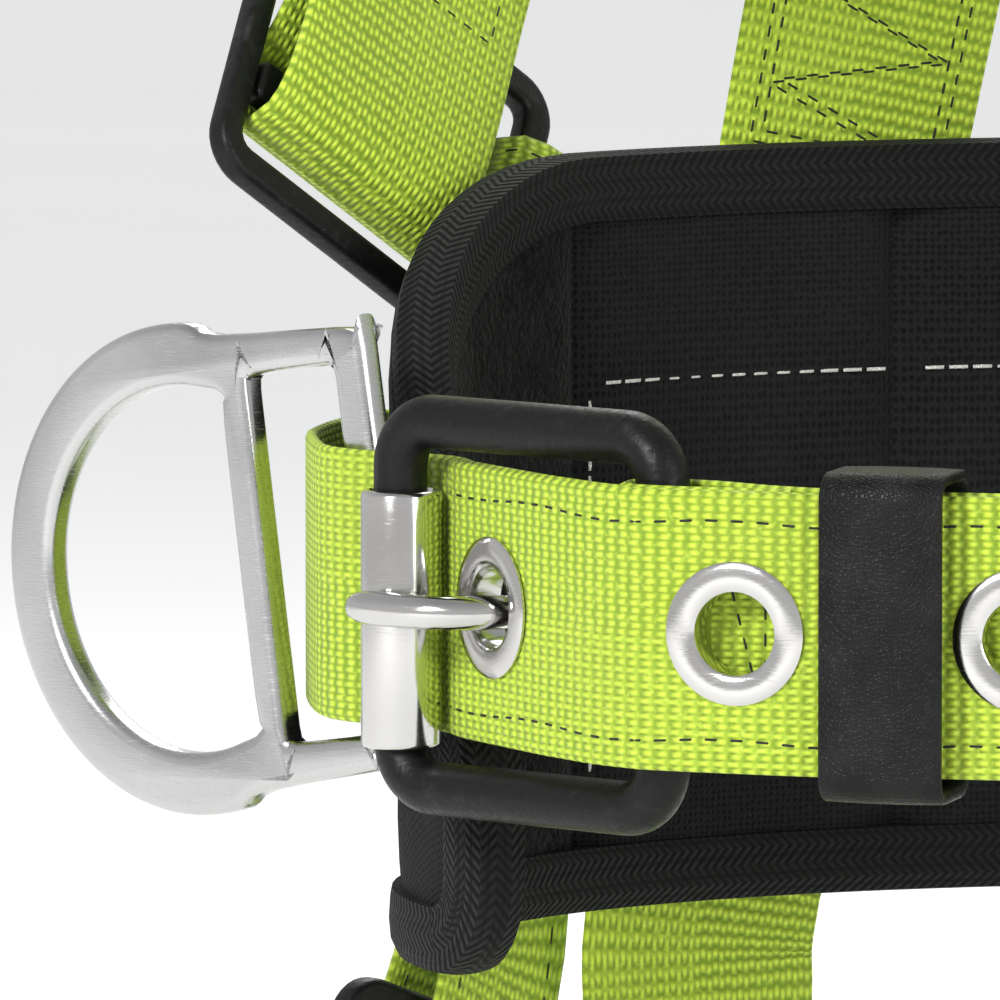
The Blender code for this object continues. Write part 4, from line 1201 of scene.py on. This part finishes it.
def make_dorsal_plate():
    """The moulded plate where the shoulder straps cross, with a slot above and below."""
    place = frame_at((0.0, PLATE_Y, PLATE_Z), (-1, 0, 0), (0, 0, 1))
    outline = [(-40, 56), (-48, 48), (-48, 18), (-40, 0), (-48, -18), (-48, -48), (-40, -56),
               (40, -56), (48, -48), (48, -18), (40, 0), (48, 18), (48, 48), (40, 56)]
    slots = [rounded_rectangle(84.0, 28.4, 3.0, (0.0, y), 5) for y in (-34.0, 34.0)]
    add_piece("dorsal_plate_moulded", plate(outline, slots, PLATE_T, place), "plastic",
              ["dorsal_plate"])


def make_chest_buckle():
    """The pass-through plate and the frame that it hooks behind."""
    place = frame_at((-13.0, CHEST_Y, CHEST_Z), (1, 0, 0), (0, 0, 1))
    windows = [rounded_rectangle(7.0, 47.0, 1.5, (x, 0.0), 4) for x in (-14.0, 1.0)]
    add_piece("chest_plate_forged", plate(rounded_rectangle(44.0, 58.0, 5.0, steps=6), windows, 3.2, place),
              "satin_alloy", ["chest_buckle_plate"])
    place = frame_at((20.0, CHEST_Y - 5.2, CHEST_Z), (1, 0, 0), (0, 0, 1))
    windows = [rounded_rectangle(30.0, 62.0, 3.0, (-6.0, 0.0), 5),
               rounded_rectangle(6.0, 47.0, 1.5, (18.5, 0.0), 4)]
    add_piece("chest_frame_forged", plate(rounded_rectangle(56.0, 74.0, 7.0, steps=7), windows, 3.2, place),
              "satin_alloy", ["chest_buckle_frame"])


def make_elastic_bands():
    """A flat elastic loop round the belt on each side."""
    outer = rounded_rectangle(WEB_WIDTH + 2.8, WEB_THICK + 2.8, 1.2, steps=4)
    inner = rounded_rectangle(WEB_WIDTH + 1.0, WEB_THICK + 1.0, 0.4, steps=3)
    low, high = belt_at(-40.2, -5.7)[0], belt_at(-34.8, -8.7)[0]
    run = high - low
    right = frame_at((low + high) / 2, (0, 0, 1), (run.y, -run.x, 0.0))
    point, normal = BELT.at(-(BUCKLE_S - 40.0))
    left = frame_at(point, (0, 0, 1), normal)
    for side, place in (("right", right), ("left", left)):
        add_piece(f"elastic_band_{side}", plate(outer, [inner], BAND_WIDTH, place, 0.3, 2), "elastic",
                  [f"belt_elastic_band_{side}"])


# ---------------------------------------------------------------- body straps

# Box stitches, as (start, end, half width, zigzags) along the strap; below 0 counts from the far end
SHOULDER_BOXES = ((172.0, 212.0, 17.5, 2), (174.0, 210.0, 15.5, 2), (4.0, 24.0, 18.0, 1),
                  (-22.0, -4.0, 16.0, 1))
LEG_BOXES = ((3.0, 24.0, 18.0, 2), (-22.0, -4.0, 16.0, 1))
CHEST_BOXES = ((4.0, 26.0, 17.0, 2), (-22.0, -4.0, 17.0, 2))


def mirrored_run(knots):
    """The same knots on the wearer's other side."""
    return [(mirror(p), mirror(n)) for p, n in knots]


def add_strap(name, side, run, lines, width=WEB_WIDTH):
    """A woven strap on one side, and its stitching."""
    add_piece(f"{name}_woven_{side}", run.swept(web_section(width)), "webbing", [f"{name}_{side}"])
    add_stitching(f"{name}_stitching_{side}", lines)


def shoulder_path(lift):
    """A shoulder strap from the small of the back to its torso link on the right."""
    return mirrored_run(shoulder_knots(lift)) + grip_knots(LINK_PLACE, LINK_WRAP, LINK_GRIP)


def make_shoulder_straps():
    """Two straps that cross at the dorsal plate, the right one over the left."""
    for side, path in (("right", shoulder_path(STRAP_LIFT)), ("left", mirrored_run(shoulder_path(0.0)))):
        run = finer(path, 4.0)
        add_strap("shoulder_strap", side, run, boxes_through(run, SHOULDER_BOXES))


def make_side_straps():
    """Narrow straps behind the pad, from each torso link to its leg buckle."""
    knots = loop_knots(LINK_PLACE, Vector((LINK_END_BAR, 0, 0)), Vector((-1, 0, 0)))
    for x, z, lift in SIDE_ROUTE:
        point, normal = back_point(x, z, lift)
        knots.append((point, -normal))
    knots += loop_knots(LEG_BUCKLE_PLACE, Vector((0, -END_BAR, 0)), Vector((0, -1, 0)))[::-1]
    for side, path in (("right", knots), ("left", mirrored_run(knots))):
        run = finer(path, 4.0)
        lines = edge_lines(run, 3.0, run.length - 3.0, SIDE_WIDTH / 2 - 4.0)
        add_strap("side_strap", side, run, lines, SIDE_WIDTH)


def make_leg_straps():
    """Loops round the thighs, from behind the pad to the leg buckles."""
    knots = leg_knots()
    for side, path in (("right", knots), ("left", mirrored_run(knots))):
        run = finer(path, 4.0)
        add_strap("leg_strap", side, run, boxes_through(run, LEG_BOXES))


def make_chest_straps():
    """Short straps from the shoulder straps to the chest buckle."""
    knots = [((-116.0, CHEST_Y + 7.0, CHEST_Z), (-0.2, -1, 0)),
             ((-93.0, CHEST_Y + 2.5, CHEST_Z), (-0.1, -1, 0)),
             ((-60.0, CHEST_Y, CHEST_Z), (0, -1, 0)), ((-38.0, CHEST_Y, CHEST_Z), (0, -1, 0))]
    for side, path in (("right", knots), ("left", mirrored_run(knots))):
        run = finer(path, 3.0)
        add_strap("chest_strap", side, run, boxes_through(run, CHEST_BOXES))


# ---------------------------------------------------------------- stage

TARGET = Vector((-0.126, -0.092, 0.0203))      # metres: the buckle side of the belt
VIEW_ELEVATION, VIEW_DISTANCE, VIEW_LENS = 5.6, 2.3, 520.0
FLOOR_Z, FLOOR_HALF, FLOOR_GLOW = -0.255, 6.0, 0.34
SKY_STRENGTH = 0.7
SKY_TONES = ((0.0, 0.15), (0.46, 0.95), (0.60, 1.0))     # (height from straight down to up, brightness)
SKY_TOP = (0.55, 0.56, 0.58, 1.0)
LIGHTS = (("key", (-1.5, -1.9, 1.3), 0.7, 52.0),         # name, place, size, watts
          ("fill", (1.6, -1.7, 0.6), 1.0, 18.0),
          ("back", (0.2, 1.6, 1.4), 1.2, 20.0))


def aim(item, place):
    """Put a lamp or camera at a place, facing the target."""
    item.location = place
    item.rotation_euler = (TARGET - Vector(place)).to_track_quat("-Z", "Y").to_euler()


def make_camera():
    """A long lens, level with the belt and a little above it."""
    lens = bpy.data.cameras.new("photo_camera")
    lens.lens = VIEW_LENS
    camera = add_object("photo_camera", lens)
    tilt = math.radians(VIEW_ELEVATION)
    aim(camera, TARGET + Vector((0, -math.cos(tilt), math.sin(tilt))) * VIEW_DISTANCE)
    bpy.context.scene.camera = camera


def make_floor():
    """A pale floor that glows faintly, so that it stays light far away."""
    floor_nodes = Nodes("pale_floor", 0.85)
    floor_nodes.colour(floor_nodes.mix(floor_nodes.noise(3.0), (0.78, 0.78, 0.77), (0.84, 0.84, 0.83)))
    floor_nodes.shader.inputs["Emission Color"].default_value = (1.0, 1.0, 1.0, 1.0)
    floor_nodes.shader.inputs["Emission Strength"].default_value = FLOOR_GLOW
    mesh = bpy.data.meshes.new("floor")
    corners = ((-1, -1), (1, -1), (1, 1), (-1, 1))
    mesh.from_pydata([(x * FLOOR_HALF, y * FLOOR_HALF, FLOOR_Z) for x, y in corners], [], [(0, 1, 2, 3)])
    mesh.materials.append(floor_nodes.material)
    floor = add_object("floor", mesh)


def make_sky():
    """A studio dome: dark below, brightest at eye level, grey overhead."""
    world = bpy.data.worlds.new("studio")
    bpy.context.scene.world = world
    world.use_nodes = True
    links, nodes = world.node_tree.links, world.node_tree.nodes
    split = nodes.new("ShaderNodeSeparateXYZ")
    links.new(nodes.new("ShaderNodeTexCoord").outputs["Generated"], split.inputs[0])
    ramp = nodes.new("ShaderNodeValToRGB")
    for place, tone in SKY_TONES:
        stop = ramp.color_ramp.elements.new(place) if place else ramp.color_ramp.elements[0]
        stop.color = (tone, tone, tone * 1.01, 1.0)
    ramp.color_ramp.elements[-1].color = SKY_TOP
    raised = nodes.new("ShaderNodeMath")
    raised.operation = "MULTIPLY_ADD"
    raised.inputs[1].default_value = 0.5
    raised.inputs[2].default_value = 0.5
    links.new(split.outputs[2], raised.inputs[0])
    links.new(raised.outputs[0], ramp.inputs[0])
    links.new(ramp.outputs[0], nodes["Background"].inputs[0])
    nodes["Background"].inputs[1].default_value = SKY_STRENGTH


def make_stage():
    """Camera, floor, sky and lamps."""
    make_camera()
    make_floor()
    make_sky()
    for name, place, size, watts in LIGHTS:
        lamp = bpy.data.lights.new(name, "AREA")
        lamp.energy, lamp.size = watts, size
        aim(add_object(name, lamp), place)
    bpy.context.scene.view_settings.view_transform = "Standard"


def make_harness():
    """Every shown piece of the harness."""
    make_belt()
    make_grommets()
    make_buckle()
    make_keeper()
    make_pad()
    make_binding()
    make_rings()
    make_slides()
    make_dorsal_plate()
    make_chest_buckle()
    make_elastic_bands()
    make_shoulder_straps()
    make_side_straps()
    make_leg_straps()
    make_chest_straps()


make_harness()
make_stage()
